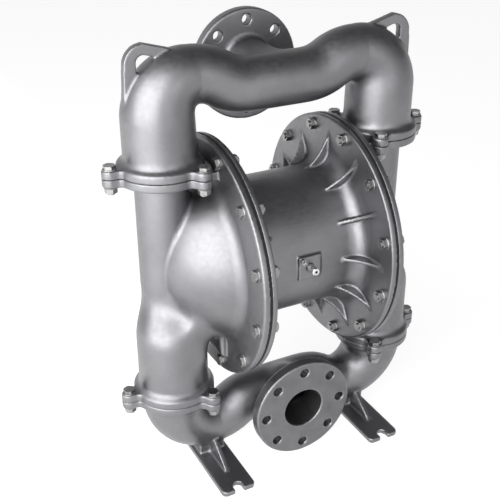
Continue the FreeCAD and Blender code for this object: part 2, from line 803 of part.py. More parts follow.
def port_flange(sign):
    """Neck and drilled flange towards -Y, at the port height above or below the axis."""
    neck_r, flare = number(size("neck_radius")), number(size("neck_flare"))
    start_y = -run_sizes(sign)[0].y
    root = number(size("neck_root"))
    face_y = number(size("port_flange_face"))
    back_y = face_y - number(size("port_flange_thick"))
    rim, edge_r = number(size("port_flange_radius")), number(size("port_flange_round"))
    knee = point(neck_r, back_y - flare)
    curve = arc_about(point(neck_r + flare, back_y - flare), knee, point(neck_r + flare, back_y))
    back_edge = arc_about(point(rim - edge_r, back_y + edge_r), point(rim - edge_r, back_y),
                          point(rim, back_y + edge_r))
    front_edge = arc_about(point(rim - edge_r, face_y - edge_r), point(rim, face_y - edge_r),
                           point(rim - edge_r, face_y))
    face = outline_face(
        point(0, start_y - root), point(neck_r - root, start_y - root),
        point(neck_r, start_y + root), curve, back_edge, front_edge, point(0, face_y))
    shape = turned(face, Z)
    shape.rotate(ORIGIN, X, 90)
    shape.translate(Z * sign * number(size("port_height")))
    return shape


def port_cuts(sign):
    centre = Z * sign * number(size("port_height"))
    face_y = number(size("port_flange_face"))
    cuts = [rod_along(Y, size("port_bore"), -face_y - RUN_OUT, run_sizes(sign)[0].y, centre)]
    for place in ring_points(size("port_hole_count"), size("port_hole_circle"), Z):
        spot = Vector(place.x, 0, place.y) + centre
        cuts.append(drill(Y, size("port_hole_radius"), -face_y,
                          -face_y + number(size("port_flange_thick")), spot))
    return cuts


def make_manifold(sign, joint_z, start_radius, wall, extras):
    """Manifold with its port towards -Y; extras are solids fused on before it is hollowed."""
    thick = number(size("joint_plate_thick"))
    place = run_sizes(sign)[0]
    joint = number(joint_z)
    arm_r, bore_r = number(size("arm_radius")), number(size("port_bore"))
    plate = joint_plate(joint, joint + sign * thick)
    foot, collar = collar_edges(start_radius, joint + sign * thick, sign)
    shoulder = turned(outline_face(
        point(0, joint), point(size("collar_radius"), joint), foot, collar,
        point(0, joint + sign * (thick + number(size("collar_rise"))))), Z)
    plate = plate.fuse(shoulder)
    plate.translate(place)
    if sign > 0:
        rim_r = number(size("rim_radius"))
        plate = plate.cut(block(0, cover_flange_face + size("cover_clearance"), -rim_r, rim_r,
                                joint - RUN_OUT, elbow_centre_z))
    side = manifold_run(sign, joint, start_radius, arm_r) + [plate] + extras
    solids = side + [mirrored_left(s) for s in side] + [port_flange(sign)]
    casting = solids[0].fuse(solids[1:])

    half = number(size("seat_half_thick"))
    if sign > 0:
        half += number(size("seat_seal_thick"))
    recess = rod_along(Z, size("seat_radius") + size("fit_gap"), joint - sign * RUN_OUT,
                       joint + sign * half, place)
    inner = manifold_run(sign, joint, start_radius - wall, bore_r) + [recess]
    for bolt_place in joint_bolt_places(1):
        inner.append(drill(Z, size("bolt_radius") + size("bolt_play"), joint,
                           joint + sign * thick, bolt_place + place))
    cuts = inner + [mirrored_left(s) for s in inner] + port_cuts(sign)
    return casting.cut(cuts)


def make_foot():
    """Right foot: slotted floor plate, pedestal and tapering web, before hollowing."""
    centre_x = number(size("foot_offset"))
    half = number(size("foot_width")) / 2
    reach = number(size("foot_reach"))
    floor_z = -number(axis_z)
    top_z = floor_z + number(size("foot_thick"))
    plate = block(centre_x - half, centre_x + half, -reach, reach, floor_z, top_z)
    uprights = [e for e in plate.Edges if is_upright(e)]
    plate = plate.makeFillet(number(size("foot_corner")), uprights)
    upper_rim = [e for e in plate.Edges if lies_at_height(e, top_z)]
    plate = plate.makeFillet(number(size("edge_break")), upper_rim)
    slot_half = number(size("foot_slot_width")) / 2
    slot_end = reach - number(size("foot_slot_depth")) + slot_half
    for side in (-1, 1):
        slot = block(centre_x - slot_half, centre_x + slot_half, side * slot_end,
                     side * (reach + RUN_OUT), floor_z - RUN_OUT, top_z + RUN_OUT)
        round_end = drill(Z, slot_half, floor_z, top_z, Vector(centre_x, side * slot_end, 0))
        plate = plate.cut(slot.fuse(round_end))
    arm_z = -number(inlet_tee_depth + size("arm_rise"))
    pedestal_x = half - number(size("pedestal_inset"))
    pedestal_y = number(size("pedestal_half"))
    pedestal = block(centre_x - pedestal_x, centre_x + pedestal_x, -pedestal_y, pedestal_y,
                     top_z - ROOT, arm_z)
    web_half = number(size("foot_web")) / 2
    crown = arm_z - number(size("foot_web_drop"))
    web_top = number(size("foot_web_top"))
    web_end = reach - number(size("foot_web_end"))
    web_points = [Vector(0, -web_top, crown), Vector(0, -web_end, top_z - ROOT),
                  Vector(0, web_end, top_z - ROOT), Vector(0, web_top, crown)]
    web = Part.Face(Part.makePolygon(web_points + web_points[:1])).extrude(X * 2 * web_half)
    web.translate(X * (centre_x - web_half))
    foot = [plate, pedestal, web]
    for piece in foot:
        piece.translate(Y * -number(size("foot_forward")))
    return foot


def make_eye():
    """Right lifting eye: a flat loop on the outer corner of the upper elbow."""
    bend = number(size("elbow_radius"))
    corner_x = number(size("column_offset"))
    arc_z = number(elbow_centre_z)
    side_x = corner_x + number(size("eye_outboard"))
    top_z = arc_z + bend + number(size("eye_rise"))
    bar = number(size("eye_bar"))
    half = number(size("eye_thick")) / 2
    outer_arc = Part.Arc(Vector(side_x - 4, 0, top_z - 30), Vector(side_x - 15, 0, top_z - 9),
                         Vector(side_x - 38, 0, top_z)).toShape()
    outer = outline_face(Vector(side_x, 0, top_z - 95), outer_arc,
                         Vector(corner_x - 26, 0, top_z - 13),
                         Vector(corner_x - 50, 0, top_z - 60), Vector(corner_x, 0, top_z - 110))
    inner_arc = Part.Arc(Vector(side_x - 5 - bar, 0, top_z - 30),
                         Vector(side_x - 9 - bar, 0, top_z - 21),
                         Vector(side_x - 19 - bar, 0, top_z - bar + 1)).toShape()
    inner = outline_face(Vector(side_x - 5 - bar, 0, top_z - 62), inner_arc,
                         Vector(corner_x - 6, 0, top_z - bar - 6),
                         Vector(corner_x - 16, 0, top_z - 50))
    loop = outer.cut(inner).extrude(Y * 2 * half)
    loop.translate(Y * -half)
    return [loop]


outlet_bore = size("outlet_tube_radius") - size("chamber_wall")
discharge = make_manifold(1, upper_joint_z, number(size("outlet_tube_radius")),
                          number(size("chamber_wall")), make_eye())
for cage_rib in cage(COLUMN, upper_joint_z, outlet_bore):
    discharge = discharge.fuse([cage_rib, mirrored_left(cage_rib)])
discharge.rotate(ORIGIN, Z, 180)
keep(discharge, "discharge_manifold")
suction = make_manifold(-1, lower_joint_z, number(size("inlet_elbow_radius")),
                        number(size("cast_wall")) + 4, make_foot())
keep(suction, "suction_manifold")


# Diaphragm: flat clamped rim and centre with one rolled arch between them
def make_diaphragm():
    low, high = number(air_face), number(fluid_face)
    inner, outer = number(size("arch_inner")), number(size("arch_outer"))
    rise = number(size("arch_height"))
    hole = number(size("stud_radius")) + 0.5
    middle = (inner + outer) / 2
    fluid_arc = Part.Arc(point(high, inner), point(high + rise, middle), point(high, outer)).toShape()
    air_arc = Part.Arc(point(low, outer), point(low + rise, middle), point(low, inner)).toShape()
    face = outline_face(
        point(low, hole), point(high, hole), fluid_arc, point(high, size("rim_radius")),
        point(low, size("rim_radius")), air_arc)
    holes = []
    for hole_place in ring_points(size("rim_bolt_count"), rim_bolt_circle, X, 15.0):
        holes.append(drill(X, size("bolt_radius") + size("bolt_play"), low, high, hole_place))
    return turned(face, X).cut(holes)


diaphragm = make_diaphragm()
keep(mirrored_left(diaphragm), "diaphragm_left")
keep(diaphragm, "diaphragm_right")

# Rod assembly: ground rod with a threaded stud at each end, plates and nuts
inner_face = air_face - size("inner_plate_thick")
hub_face = fluid_face + size("outer_plate_hub")
rod_end = hub_face + size("plate_nut_thick") + 2.5
turned_body("diaphragm_rod", [
    (ZERO, ZERO), (ZERO, size("stud_radius")),
    (rod_end - inner_face, size("stud_radius")), (rod_end - inner_face, size("rod_radius")),
    (rod_end + inner_face, size("rod_radius")), (rod_end + inner_face, size("stud_radius")),
    (rod_end * 2, size("stud_radius")), (rod_end * 2, ZERO)],
    "H_Axis", (-rod_end, ZERO, ZERO, 0))

for side, sign in SIDES:
    turn = 180 if sign < 0 else 0
    bore = size("stud_radius") + size("running_gap")
    thick = size("inner_plate_thick")
    turned_body(f"inner_plate_{side}", [
        (ZERO, bore), (ZERO, size("plate_radius") - 5), (ZERO + 4, size("plate_radius") - 1.5),
        (thick - 2, size("plate_radius")), (thick, size("plate_radius")), (thick, bore)],
        "H_Axis", (inner_face * sign, ZERO, ZERO, turn))
    turned_body(f"outer_plate_{side}", [
        (ZERO, bore), (ZERO, size("plate_radius")), (size("outer_plate_rim") * 0.4, size("plate_radius")),
        (size("outer_plate_rim"), size("plate_radius") - 4),
        (size("outer_plate_hub") - 3, size("plate_radius") * 0.5),
        (size("outer_plate_hub"), size("plate_nut_flats") * 0.9), (size("outer_plate_hub"), bore)],
        "H_Axis", (fluid_face * sign, ZERO, ZERO, turn))
    nut = hexagon(size("plate_nut_flats"), size("plate_nut_thick"), X * number(hub_face), X)
    nut = nut.cut(drill(X, bore, hub_face, rod_end))
    keep(nut if sign > 0 else mirrored_left(nut), f"plate_nut_{side}")
    bush_end = chamber_back - size("seal_length")
    running = size("rod_radius") + size("running_gap")
    turned_body(f"rod_bush_{side}", [
        (ZERO, running), (ZERO, bush_radius), (size("bush_length"), bush_radius),
        (size("bush_length"), running)],
        "H_Axis", ((bush_end - size("bush_length")) * sign, ZERO, ZERO, turn))
    turned_body(f"rod_seal_{side}", [
        (ZERO, running), (ZERO, bush_radius), (size("seal_length"), bush_radius),
        (size("seal_length"), bush_radius - 2), (size("seal_length") - 3, bush_radius - 3),
        (size("seal_length") - 3, running + 1.5), (size("seal_length"), running + 0.8),
        (size("seal_length"), running)],
        "H_Axis", (bush_end * sign, ZERO, ZERO, turn))
    pilot_hole = size("pilot_radius") + size("running_gap")
    pilot_outer = size("pilot_radius") + size("pilot_bush_wall")
    turned_body(f"pilot_bush_{side}", [
        (ZERO, pilot_hole), (ZERO, pilot_outer), (size("cast_wall"), pilot_outer),
        (size("cast_wall"), pilot_hole)],
        "H_Axis", (partition_face * sign, ZERO, size("pilot_height"), turn))

# Pilot pin: pushed over by the inner plate at each end of the stroke
pilot_half = inner_face - size("rod_travel") + size("pilot_travel") - size("contact_gap")
turned_body("pilot_pin", [
    (ZERO, ZERO), (ZERO, size("pilot_radius") - 1), (ZERO + 1, size("pilot_radius")),
    (pilot_half * 2 - 1, size("pilot_radius")), (pilot_half * 2, size("pilot_radius") - 1),
    (pilot_half * 2, ZERO)],
    "H_Axis", (-pilot_half, ZERO, size("pilot_height"), 0))


# Ball valves: seat, flat seal and ball at each joint
for side, sign in SIDES:
    for flow, joint_z, place_x, at_y in (("inlet", lower_joint_z, inlet_x, inlet_y),
                                         ("outlet", upper_joint_z, size("column_offset"), ZERO)):
        at_x = place_x * sign
        full = size("seat_half_thick") * 2
        turned_body(f"{flow}_seat_{side}", [
            (size("seat_bore"), ZERO), (size("seat_radius"), ZERO), (size("seat_radius"), full),
            (size("seat_bore"), full)],
            "V_Axis", (at_x, at_y, joint_z - size("seat_half_thick"), 0))
        turned_body(f"{flow}_seat_seal_{side}", [
            (size("seat_radius") - size("seat_seal_width"), ZERO), (size("seat_radius"), ZERO),
            (size("seat_radius"), size("seat_seal_thick")),
            (size("seat_radius") - size("seat_seal_width"), size("seat_seal_thick"))],
            "V_Axis", (at_x, at_y, joint_z + size("seat_half_thick"), 0))
        ball = document.addObject("Part::Sphere", f"{flow}_ball_{side}")
        ball.Label = f"{flow}_ball_{side}"
        ball.setExpression("Radius", size("ball_radius").formula)
        centre_z = joint_z + ball_above_joint
        ball.Placement = lifted(number(at_x), number(at_y), number(centre_z))
        ball.setExpression("Placement.Base.x", at_x.formula)
        ball.setExpression("Placement.Base.y", at_y.formula)
        ball.setExpression("Placement.Base.z", (axis_z + centre_z).formula)
        pieces.append(ball)


# Fasteners: hexagon bolts and nuts, each set kept as one group of separate solids
def hex_bolt(base, axis, grip):
    """Bolt whose head sits on base and whose shank runs the other way through the grip."""
    length = grip + number(size("nut_thick")) + 3
    head = chamfered_hexagon(size("head_flats"), size("head_thick"), base, axis)
    shank = Part.makeCylinder(number(size("bolt_radius")), length + 1, base - axis * length, axis)
    return head.fuse(shank)


def hex_nut(base, axis):
    nut = chamfered_hexagon(size("head_flats"), size("nut_thick"), base, axis)
    hole = Part.makeCylinder(number(size("bolt_radius") + size("fit_gap")),
                             number(size("nut_thick")) + 2, base - axis, axis)
    return nut.cut(hole)


rim_grip = number(cover_flange_face - body_flange_face)
rim_bolts, rim_nuts = [], []
for hole in ring_points(size("rim_bolt_count"), rim_bolt_circle, X, 15.0):
    rim_bolts.append(hex_bolt(hole + X * number(cover_flange_face), X, rim_grip))
    rim_nuts.append(hex_nut(hole + X * number(body_flange_face), X * -1))
for label, group in (("rim_bolts", rim_bolts), ("rim_nuts", rim_nuts)):
    keep(Part.makeCompound([mirrored_left(s) for s in group]), f"{label}_left")
    keep(Part.makeCompound(group), f"{label}_right")

joint_grip = 2 * number(size("joint_plate_thick"))
for side, sign in SIDES:
    for level, joint_z, column in (("lower", lower_joint_z, INLET), ("upper", upper_joint_z, COLUMN)):
        middle = Vector(sign * column.x, column.y, number(joint_z))
        top = Z * (joint_grip / 2)
        bolts = [hex_bolt(middle + place + top, Z, joint_grip) for place in joint_bolt_places(sign)]
        nuts = [hex_nut(middle + place - top, Z * -1) for place in joint_bolt_places(sign)]
        keep(Part.makeCompound(bolts), f"{level}_joint_bolts_{side}")
        keep(Part.makeCompound(nuts), f"{level}_joint_nuts_{side}")


# Main air valve on the rear pad
def make_valve_block():
    half_x, half_z = number(size("valve_length")) / 2, number(size("valve_height")) / 2
    shape = block(-half_x, half_x, valve_back_y, valve_front_y, -half_z, half_z)
    long_edges = [e for e in shape.Edges
                  if abs(e.tangentAt(e.FirstParameter).x) > 0.9 and e.CenterOfMass.y > number(valve_axis_y)]
    shape = shape.makeFillet(number(size("valve_corner_round")), long_edges)
    at = Y * number(valve_axis_y)
    cuts = [drill(X, size("spool_radius") + size("running_gap"), -half_x, half_x, at)]
    relief_top = size("spool_radius") + size("land_clearance")
    cuts.append(rod_along(Z, size("air_inlet_radius"), 0, half_z + RUN_OUT, at))
    cuts.append(rod_along(Z, size("air_inlet_radius") + size("thread_relief"), 0, relief_top, at))
    cuts.append(rod_along(Z, size("exhaust_radius"), -half_z - RUN_OUT, 0, at))
    for side_x in (-1, 1):
        spot = X * side_x * number(size("air_port_offset"))
        cuts.append(rod_along(Y, size("air_port_radius"), valve_back_y - RUN_OUT, valve_axis_y, spot))
    screw_hole = size("valve_screw_radius") + size("valve_screw_play")
    for corner in valve_screw_places():
        cuts.append(drill(Y, screw_hole, valve_back_y, valve_front_y, corner))
    tapped = size("cap_screw_radius") + size("fit_gap")
    for place in end_cap_screw_places():
        cuts.extend(both_ends(drill(X, tapped, half_x - number(size("cap_screw_depth")), half_x, place)))
    return shape.cut(cuts)


def end_cap_screw_places():
    reach = number(size("end_cap_radius") - size("cap_screw_inset"))
    for place in ring_points(4, reach, X, 45.0):
        yield place + Y * number(valve_axis_y)


keep(make_valve_block(), "air_valve_block")


def make_gasket():
    half_x, half_z = number(size("valve_length")) / 2, number(size("valve_height")) / 2
    half_x -= number(size("gasket_inset"))
    half_z -= number(size("gasket_inset"))
    shape = block(-half_x, half_x, pad_face, valve_back_y, -half_z, half_z)
    cuts = []
    for side_x in (-1, 1):
        spot = X * side_x * number(size("air_port_offset"))
        cuts.append(drill(Y, size("air_port_radius"), pad_face, valve_back_y, spot))
    screw_hole = size("valve_screw_radius") + size("valve_screw_play")
    for corner in valve_screw_places():
        cuts.append(drill(Y, screw_hole, pad_face, valve_back_y, corner))
    return shape.cut(cuts)


keep(make_gasket(), "air_valve_gasket")


def make_end_cap():
    """Right end cap with a hollow that takes the end of the spool's travel."""
    at = Y * number(valve_axis_y)
    face_x = number(size("valve_length")) / 2
    thick = number(size("end_cap_thick"))
    cap = rod_along(X, size("end_cap_radius"), face_x, face_x + thick, at)
    rim_edges = [e for e in cap.Edges if abs(e.CenterOfMass.x - face_x - thick) < 0.1]
    cap = cap.makeChamfer(number(size("cap_chamfer")), rim_edges)
    cuts = [rod_along(X, size("cap_hollow_radius"), face_x - RUN_OUT,
                      face_x + number(size("cap_hollow_depth")), at)]
    screw_hole = size("cap_screw_radius") + size("cap_screw_play")
    for place in end_cap_screw_places():
        cuts.append(drill(X, screw_hole, face_x, face_x + thick, place))
    return cap.cut(cuts)


end_cap = make_end_cap()
keep(mirrored_left(end_cap), "valve_end_cap_left")
keep(end_cap, "valve_end_cap_right")


def cap_screw(base, axis, name, length):
    """Socket head screw: head on base, shank the other way, hexagon socket in the head."""
    radius, head_radius = number(size(name + "_radius")), number(size(name + "_head"))
    head_thick = number(size(name + "_head_thick"))
    head = Part.makeCylinder(head_radius, head_thick, base, axis)
    shank = Part.makeCylinder(radius, length + RUN_OUT, base - axis * length, axis)
    socket = hexagon(head_radius, head_thick * 0.6, base + axis * head_thick * 0.4, axis)
    return head.fuse(shank).cut(socket)


cap_face = number(size("valve_length")) / 2 + number(size("end_cap_thick"))
end_screws = []
for place in end_cap_screw_places():
    screw = cap_screw(place + X * cap_face, X, "cap_screw",
                      number(size("end_cap_thick") + size("cap_screw_depth")))
    end_screws.extend(both_ends(screw))
keep(Part.makeCompound(end_screws), "end_cap_screws")
block_screws = []
block_screw_length = number(size("valve_depth") + size("gasket_thick") + size("valve_screw_depth"))
for corner in valve_screw_places():
    block_screws.append(cap_screw(corner + Y * number(valve_front_y), Y, "valve_screw",
                                  block_screw_length))
keep(Part.makeCompound(block_screws), "air_valve_screws")


# Valve spool: three lands on a thinner stem
def make_spool():
    half = number(size("valve_length") / 2 - size("spool_travel") - size("spool_end_gap"))
    land = number(size("spool_land")) / 2
    at = Y * number(valve_axis_y)
    spool = rod_along(X, size("spool_stem_radius"), -half, half, at)
    lands = []
    for middle_x in (-half + land, 0, half - land):
        lands.append(rod_along(X, size("spool_radius"), middle_x - land, middle_x + land, at))
    return spool.fuse(lands)


keep(make_spool(), "valve_spool")


# Exhaust muffler under the valve block
def make_muffler():
    top_z = -number(size("valve_height")) / 2
    outer = number(size("muffler_radius"))
    neck = number(size("exhaust_radius") - size("fit_gap"))
    length = number(size("muffler_length"))
    neck_top = top_z + number(size("muffler_neck_depth"))
    can_top = top_z - number(size("muffler_hex_thick"))
    hexagonal = hexagon(size("muffler_hex_flats"), size("muffler_hex_thick"), Z * can_top, Z)
    pipe = rod_along(Z, neck, can_top - ROOT, neck_top)
    can = rod_along(Z, outer, can_top - length, can_top)
    shape = hexagonal.fuse([pipe, can])
    grooves = []
    for index in range(int(number(size("muffler_groove_count")))):
        high = can_top - number(size("muffler_first_groove") + size("muffler_groove_pitch") * index)
        low = high - number(size("muffler_groove_width"))
        inner = outer - number(size("muffler_groove_depth"))
        grooves.append(rod_along(Z, outer + RUN_OUT, low, high).cut(rod_along(Z, inner, low, high)))
    hollow = rod_along(Z, neck - number(size("muffler_wall")), can_top - length * 0.87,
                       neck_top + RUN_OUT)
    shape = shape.cut(grooves + [hollow])
    shape.translate(Y * number(valve_axis_y))
    return shape


keep(make_muffler(), "exhaust_muffler")


# Front pad: short threaded air nipple and one small screw
def make_nipple():
    face_y = number(size("barrel_radius") + size("front_pad_raise"))
    outer = number(size("nipple_radius"))
    reach = number(size("nipple_reach"))
    depth = number(size("nipple_depth"))
    pipe = rod_along(Y, outer, -face_y - reach, -face_y + depth)
    tip = [e for e in pipe.Edges if abs(e.CenterOfMass.y + face_y + reach) < 0.1]
    pipe = pipe.makeChamfer(number(size("edge_break")) / 2, tip)
    nipple = pipe.cut(drill(Y, size("nipple_bore"), -face_y - reach, -face_y + depth))
    nipple.translate(Z * number(size("front_pad_lift")))
    return nipple


keep(make_nipple(), "front_air_nipple")
front_face_y = number(size("barrel_radius") + size("front_pad_raise"))
pad_screw = cap_screw(pad_screw_place() - Y * front_face_y, Y * -1, "pad_screw",
                      number(size("pad_screw_depth")))
keep(pad_screw, "front_pad_screw")

document.recompute()
for item in document.Objects:
    if "Invalid" in item.State or "Error" in item.State:
        raise RuntimeError(f"{item.Label} failed: {item.State}")
for piece in pieces:
    shape = piece.Shape
    if shape.isNull() or not shape.isValid() or not shape.Solids:
        raise RuntimeError(f"{piece.Label} has no valid solid")
for piece in pieces:
    piece.Shape.exportStep(f"parts/{piece.Label}.step")
    box = piece.Shape.BoundBox
    print(f"{piece.Label}: {len(piece.Shape.Solids)} solids, {piece.Shape.Volume / 1000:.1f} cm3, "
          f"x {box.XMin:.1f}..{box.XMax:.1f} y {box.YMin:.1f}..{box.YMax:.1f} "
          f"z {box.ZMin:.1f}..{box.ZMax:.1f}")
print(len(pieces), "pieces")
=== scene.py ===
import json
import logging
import math
from dataclasses import dataclass, replace
from enum import Enum
from typing import Self

import bmesh
import bpy
import numpy as np
from mathutils import Matrix, Vector


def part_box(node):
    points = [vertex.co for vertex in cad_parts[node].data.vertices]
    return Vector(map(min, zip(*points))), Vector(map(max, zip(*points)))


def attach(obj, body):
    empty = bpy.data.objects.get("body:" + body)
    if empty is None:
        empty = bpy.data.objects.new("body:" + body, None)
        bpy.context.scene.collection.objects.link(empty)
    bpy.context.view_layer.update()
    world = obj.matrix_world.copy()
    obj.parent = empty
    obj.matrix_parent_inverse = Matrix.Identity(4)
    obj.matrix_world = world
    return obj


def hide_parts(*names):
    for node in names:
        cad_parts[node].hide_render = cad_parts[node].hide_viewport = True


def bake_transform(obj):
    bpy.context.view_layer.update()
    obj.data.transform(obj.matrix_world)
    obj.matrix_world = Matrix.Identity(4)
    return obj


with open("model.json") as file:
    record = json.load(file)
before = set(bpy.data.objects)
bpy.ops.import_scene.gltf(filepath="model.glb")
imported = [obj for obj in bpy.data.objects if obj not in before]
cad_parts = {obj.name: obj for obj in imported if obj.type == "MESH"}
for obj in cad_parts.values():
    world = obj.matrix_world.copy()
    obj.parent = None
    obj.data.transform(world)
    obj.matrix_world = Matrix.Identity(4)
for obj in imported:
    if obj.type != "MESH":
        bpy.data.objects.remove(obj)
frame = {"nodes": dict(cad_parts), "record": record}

LOG = logging.getLogger("diaphragm_pump")
MM = 0.001
# Heights in millimetres: the pump's centre above the floor, and each port's middle off that centre.
AXIS_MM = 407.0
PORT_MM = 304.0
PUMP_BODY = "pump_body"
# Points of a solid's mesh that are nearer than this, in metres, are one point.
SAME_POINT = 0.00001
WHITE = "FFFFFF"
Place = tuple[float, float, float]


def srgb(code: str) -> tuple[float, float, float, float]:
    """Turns an sRGB hex code into a linear colour.

    Args:
        code: six hex digits, with or without a leading hash.

    Returns:
        Linear red, green, blue and an alpha of one.
    """
    digits = code.lstrip("#")
    linear = []
    for start in (0, 2, 4):
        value = int(digits[start:start + 2], 16) / 255
        linear.append(value / 12.92 if value <= 0.04045 else ((value + 0.055) / 1.055) ** 2.4)
    return (*linear, 1.0)


def add_node(material: bpy.types.ID, kind: str, settings: dict | None = None,
             links: dict | None = None) -> bpy.types.Node:
    """Adds one shader node with its settings and incoming links.

    Args:
        material: the material, or any data-block with a node tree.
        kind: the node's type name.
        settings: attribute values, or default values where the key is a socket's name or number.
        links: incoming links, from a socket's name or number to an output socket.

    Returns:
        The new node.
    """
    tree = material.node_tree
    node = tree.nodes.new(kind)
    for key, value in (settings or {}).items():
        if isinstance(key, str) and hasattr(node, key):
            setattr(node, key, value)
        else:
            node.inputs[key].default_value = value
    for key, output in (links or {}).items():
        tree.links.new(output, node.inputs[key])
    return node


def blank_material(name: str) -> bpy.types.Material:
    """Makes an empty node material.

    Args:
        name: the material's name.

    Returns:
        A material whose node tree has no nodes.
    """
    material = bpy.data.materials.new(name)
    material.use_nodes = True
    material.node_tree.nodes.clear()
    return material


def ramp(material: bpy.types.ID, source: bpy.types.NodeSocket,
         stops: list[tuple[float, tuple]]) -> bpy.types.NodeSocket:
    """Adds a colour ramp.

    Args:
        material: the material it is added to.
        source: the value that drives it.
        stops: position and colour of each stop, in rising order.

    Returns:
        The ramp's colour output.
    """
    node = add_node(material, "ShaderNodeValToRGB", links={"Fac": source})
    elements = node.color_ramp.elements
    while len(elements) < len(stops):
        elements.new(0.5)
    for element, (position, colour) in zip(elements, stops):
        element.position = position
        element.color = colour
    return node.outputs["Color"]


def noise(material: bpy.types.ID, place: bpy.types.NodeSocket, size_mm: float, detail: float,
          roughness: float = 0.5) -> bpy.types.NodeSocket:
    """Adds a noise pattern.

    Args:
        material: the material it is added to.
        place: the coordinates that it follows, in metres.
        size_mm: usual size of its patches, in millimetres.
        detail: number of finer layers on top.
        roughness: weight of each finer layer against the one before.

    Returns:
        The pattern's value, about one half on average.
    """
    return add_node(material, "ShaderNodeTexNoise",
                    {"Scale": 1.0 / (size_mm * MM), "Detail": detail, "Roughness": roughness},
                    {"Vector": place}).outputs["Fac"]


def surfaced(material: bpy.types.Material, height: bpy.types.NodeSocket, relief: tuple[float, float],
             settings: dict, links: dict) -> bpy.types.Material:
    """Ends a material with its relief, shader and output.

    Args:
        material: the material.
        height: pattern of the fine relief.
        relief: the relief's strength, and its depth in metres.
        settings: fixed values of the shader.
        links: patterns that drive the shader.

    Returns:
        The same material, finished.
    """
    bump = add_node(material, "ShaderNodeBump", {"Strength": relief[0], "Distance": relief[1]},
                    {"Height": height}).outputs["Normal"]
    shader = add_node(material, "ShaderNodeBsdfPrincipled", settings, {**links, "Normal": bump})
    add_node(material, "ShaderNodeOutputMaterial", links={"Surface": shader.outputs["BSDF"]})
    return material


class Axis(Enum):
    """Main axis of the pump that a face looks along or a ring stands across."""

    X = 0
    Y = 1
    Z = 2


@dataclass(frozen=True)
class CastFinish:
    """Sand cast aluminium, shot blasted and sealed: a fine even grain with a broad soft sheen."""

    name: str = "cast_aluminium_shot_blasted"
    light: str = "88888A"
    dark: str = "79797C"
    # Colour of the painted shade in inside corners.
    crease_shade: str = "525254"
    edge: str = "A2A2A4"
    grain_mm: float = 1.6
    cloud_mm: float = 90.0
    mottle_mm: float = 7.0
    roughness_low: float = 0.38
    roughness_high: float = 0.48
    grain_depth: float = 0.00010
    shaded_below: float = 0.5
    most_shaded_at: float = 0.44
    shade_share: float = 0.35
    rubbed_above: float = 0.53
    most_rubbed: float = 0.62
    rub_share: float = 0.6

    def build(self) -> bpy.types.Material:
        """Builds the material.

        Returns:
            The finished material.
        """
        material = blank_material(self.name)
        place = add_node(material, "ShaderNodeTexCoord").outputs["Object"]
        # The blasted skin varies slightly from place to place, as the shot strikes it unevenly.
        cloud = noise(material, place, self.cloud_mm, 4.0, 0.6)
        mottle = noise(material, place, self.mottle_mm, 3.0)
        skin = ramp(material, cloud, [(0.3, srgb(self.dark)), (0.7, srgb(self.light))])
        # Edges are rubbed brighter, and inside corners are darkened with painted shade.
        bend = add_node(material, "ShaderNodeNewGeometry").outputs["Pointiness"]
        hollow = ramp(material, bend, [(self.most_shaded_at, srgb(self.crease_shade)), (self.shaded_below, srgb(WHITE))])
        shaded = add_node(material, "ShaderNodeMix",
                         {"data_type": "RGBA", "blend_type": "MULTIPLY", 0: self.shade_share},
                         {6: skin, 7: hollow}).outputs[2]
        rub = add_node(material, "ShaderNodeMapRange",
                       {"From Min": self.rubbed_above, "From Max": self.most_rubbed,
                        "To Max": self.rub_share}, {"Value": bend}).outputs["Result"]
        colour = add_node(material, "ShaderNodeMix", {"data_type": "RGBA", 7: srgb(self.edge)},
                          {0: rub, 6: shaded}).outputs[2]
        # Grit craters are about 0.3 mm across in life; they are drawn coarser so that they show.
        grain = noise(material, place, self.grain_mm, 3.0, 0.55)
        rough = add_node(material, "ShaderNodeMapRange",
                         {"From Min": 0.3, "From Max": 0.7, "To Min": self.roughness_low,
                          "To Max": self.roughness_high}, {"Value": mottle}).outputs["Result"]
        return surfaced(material, grain, (0.6, self.grain_depth), {"Metallic": 1.0},
                        {"Base Color": colour, "Roughness": rough})


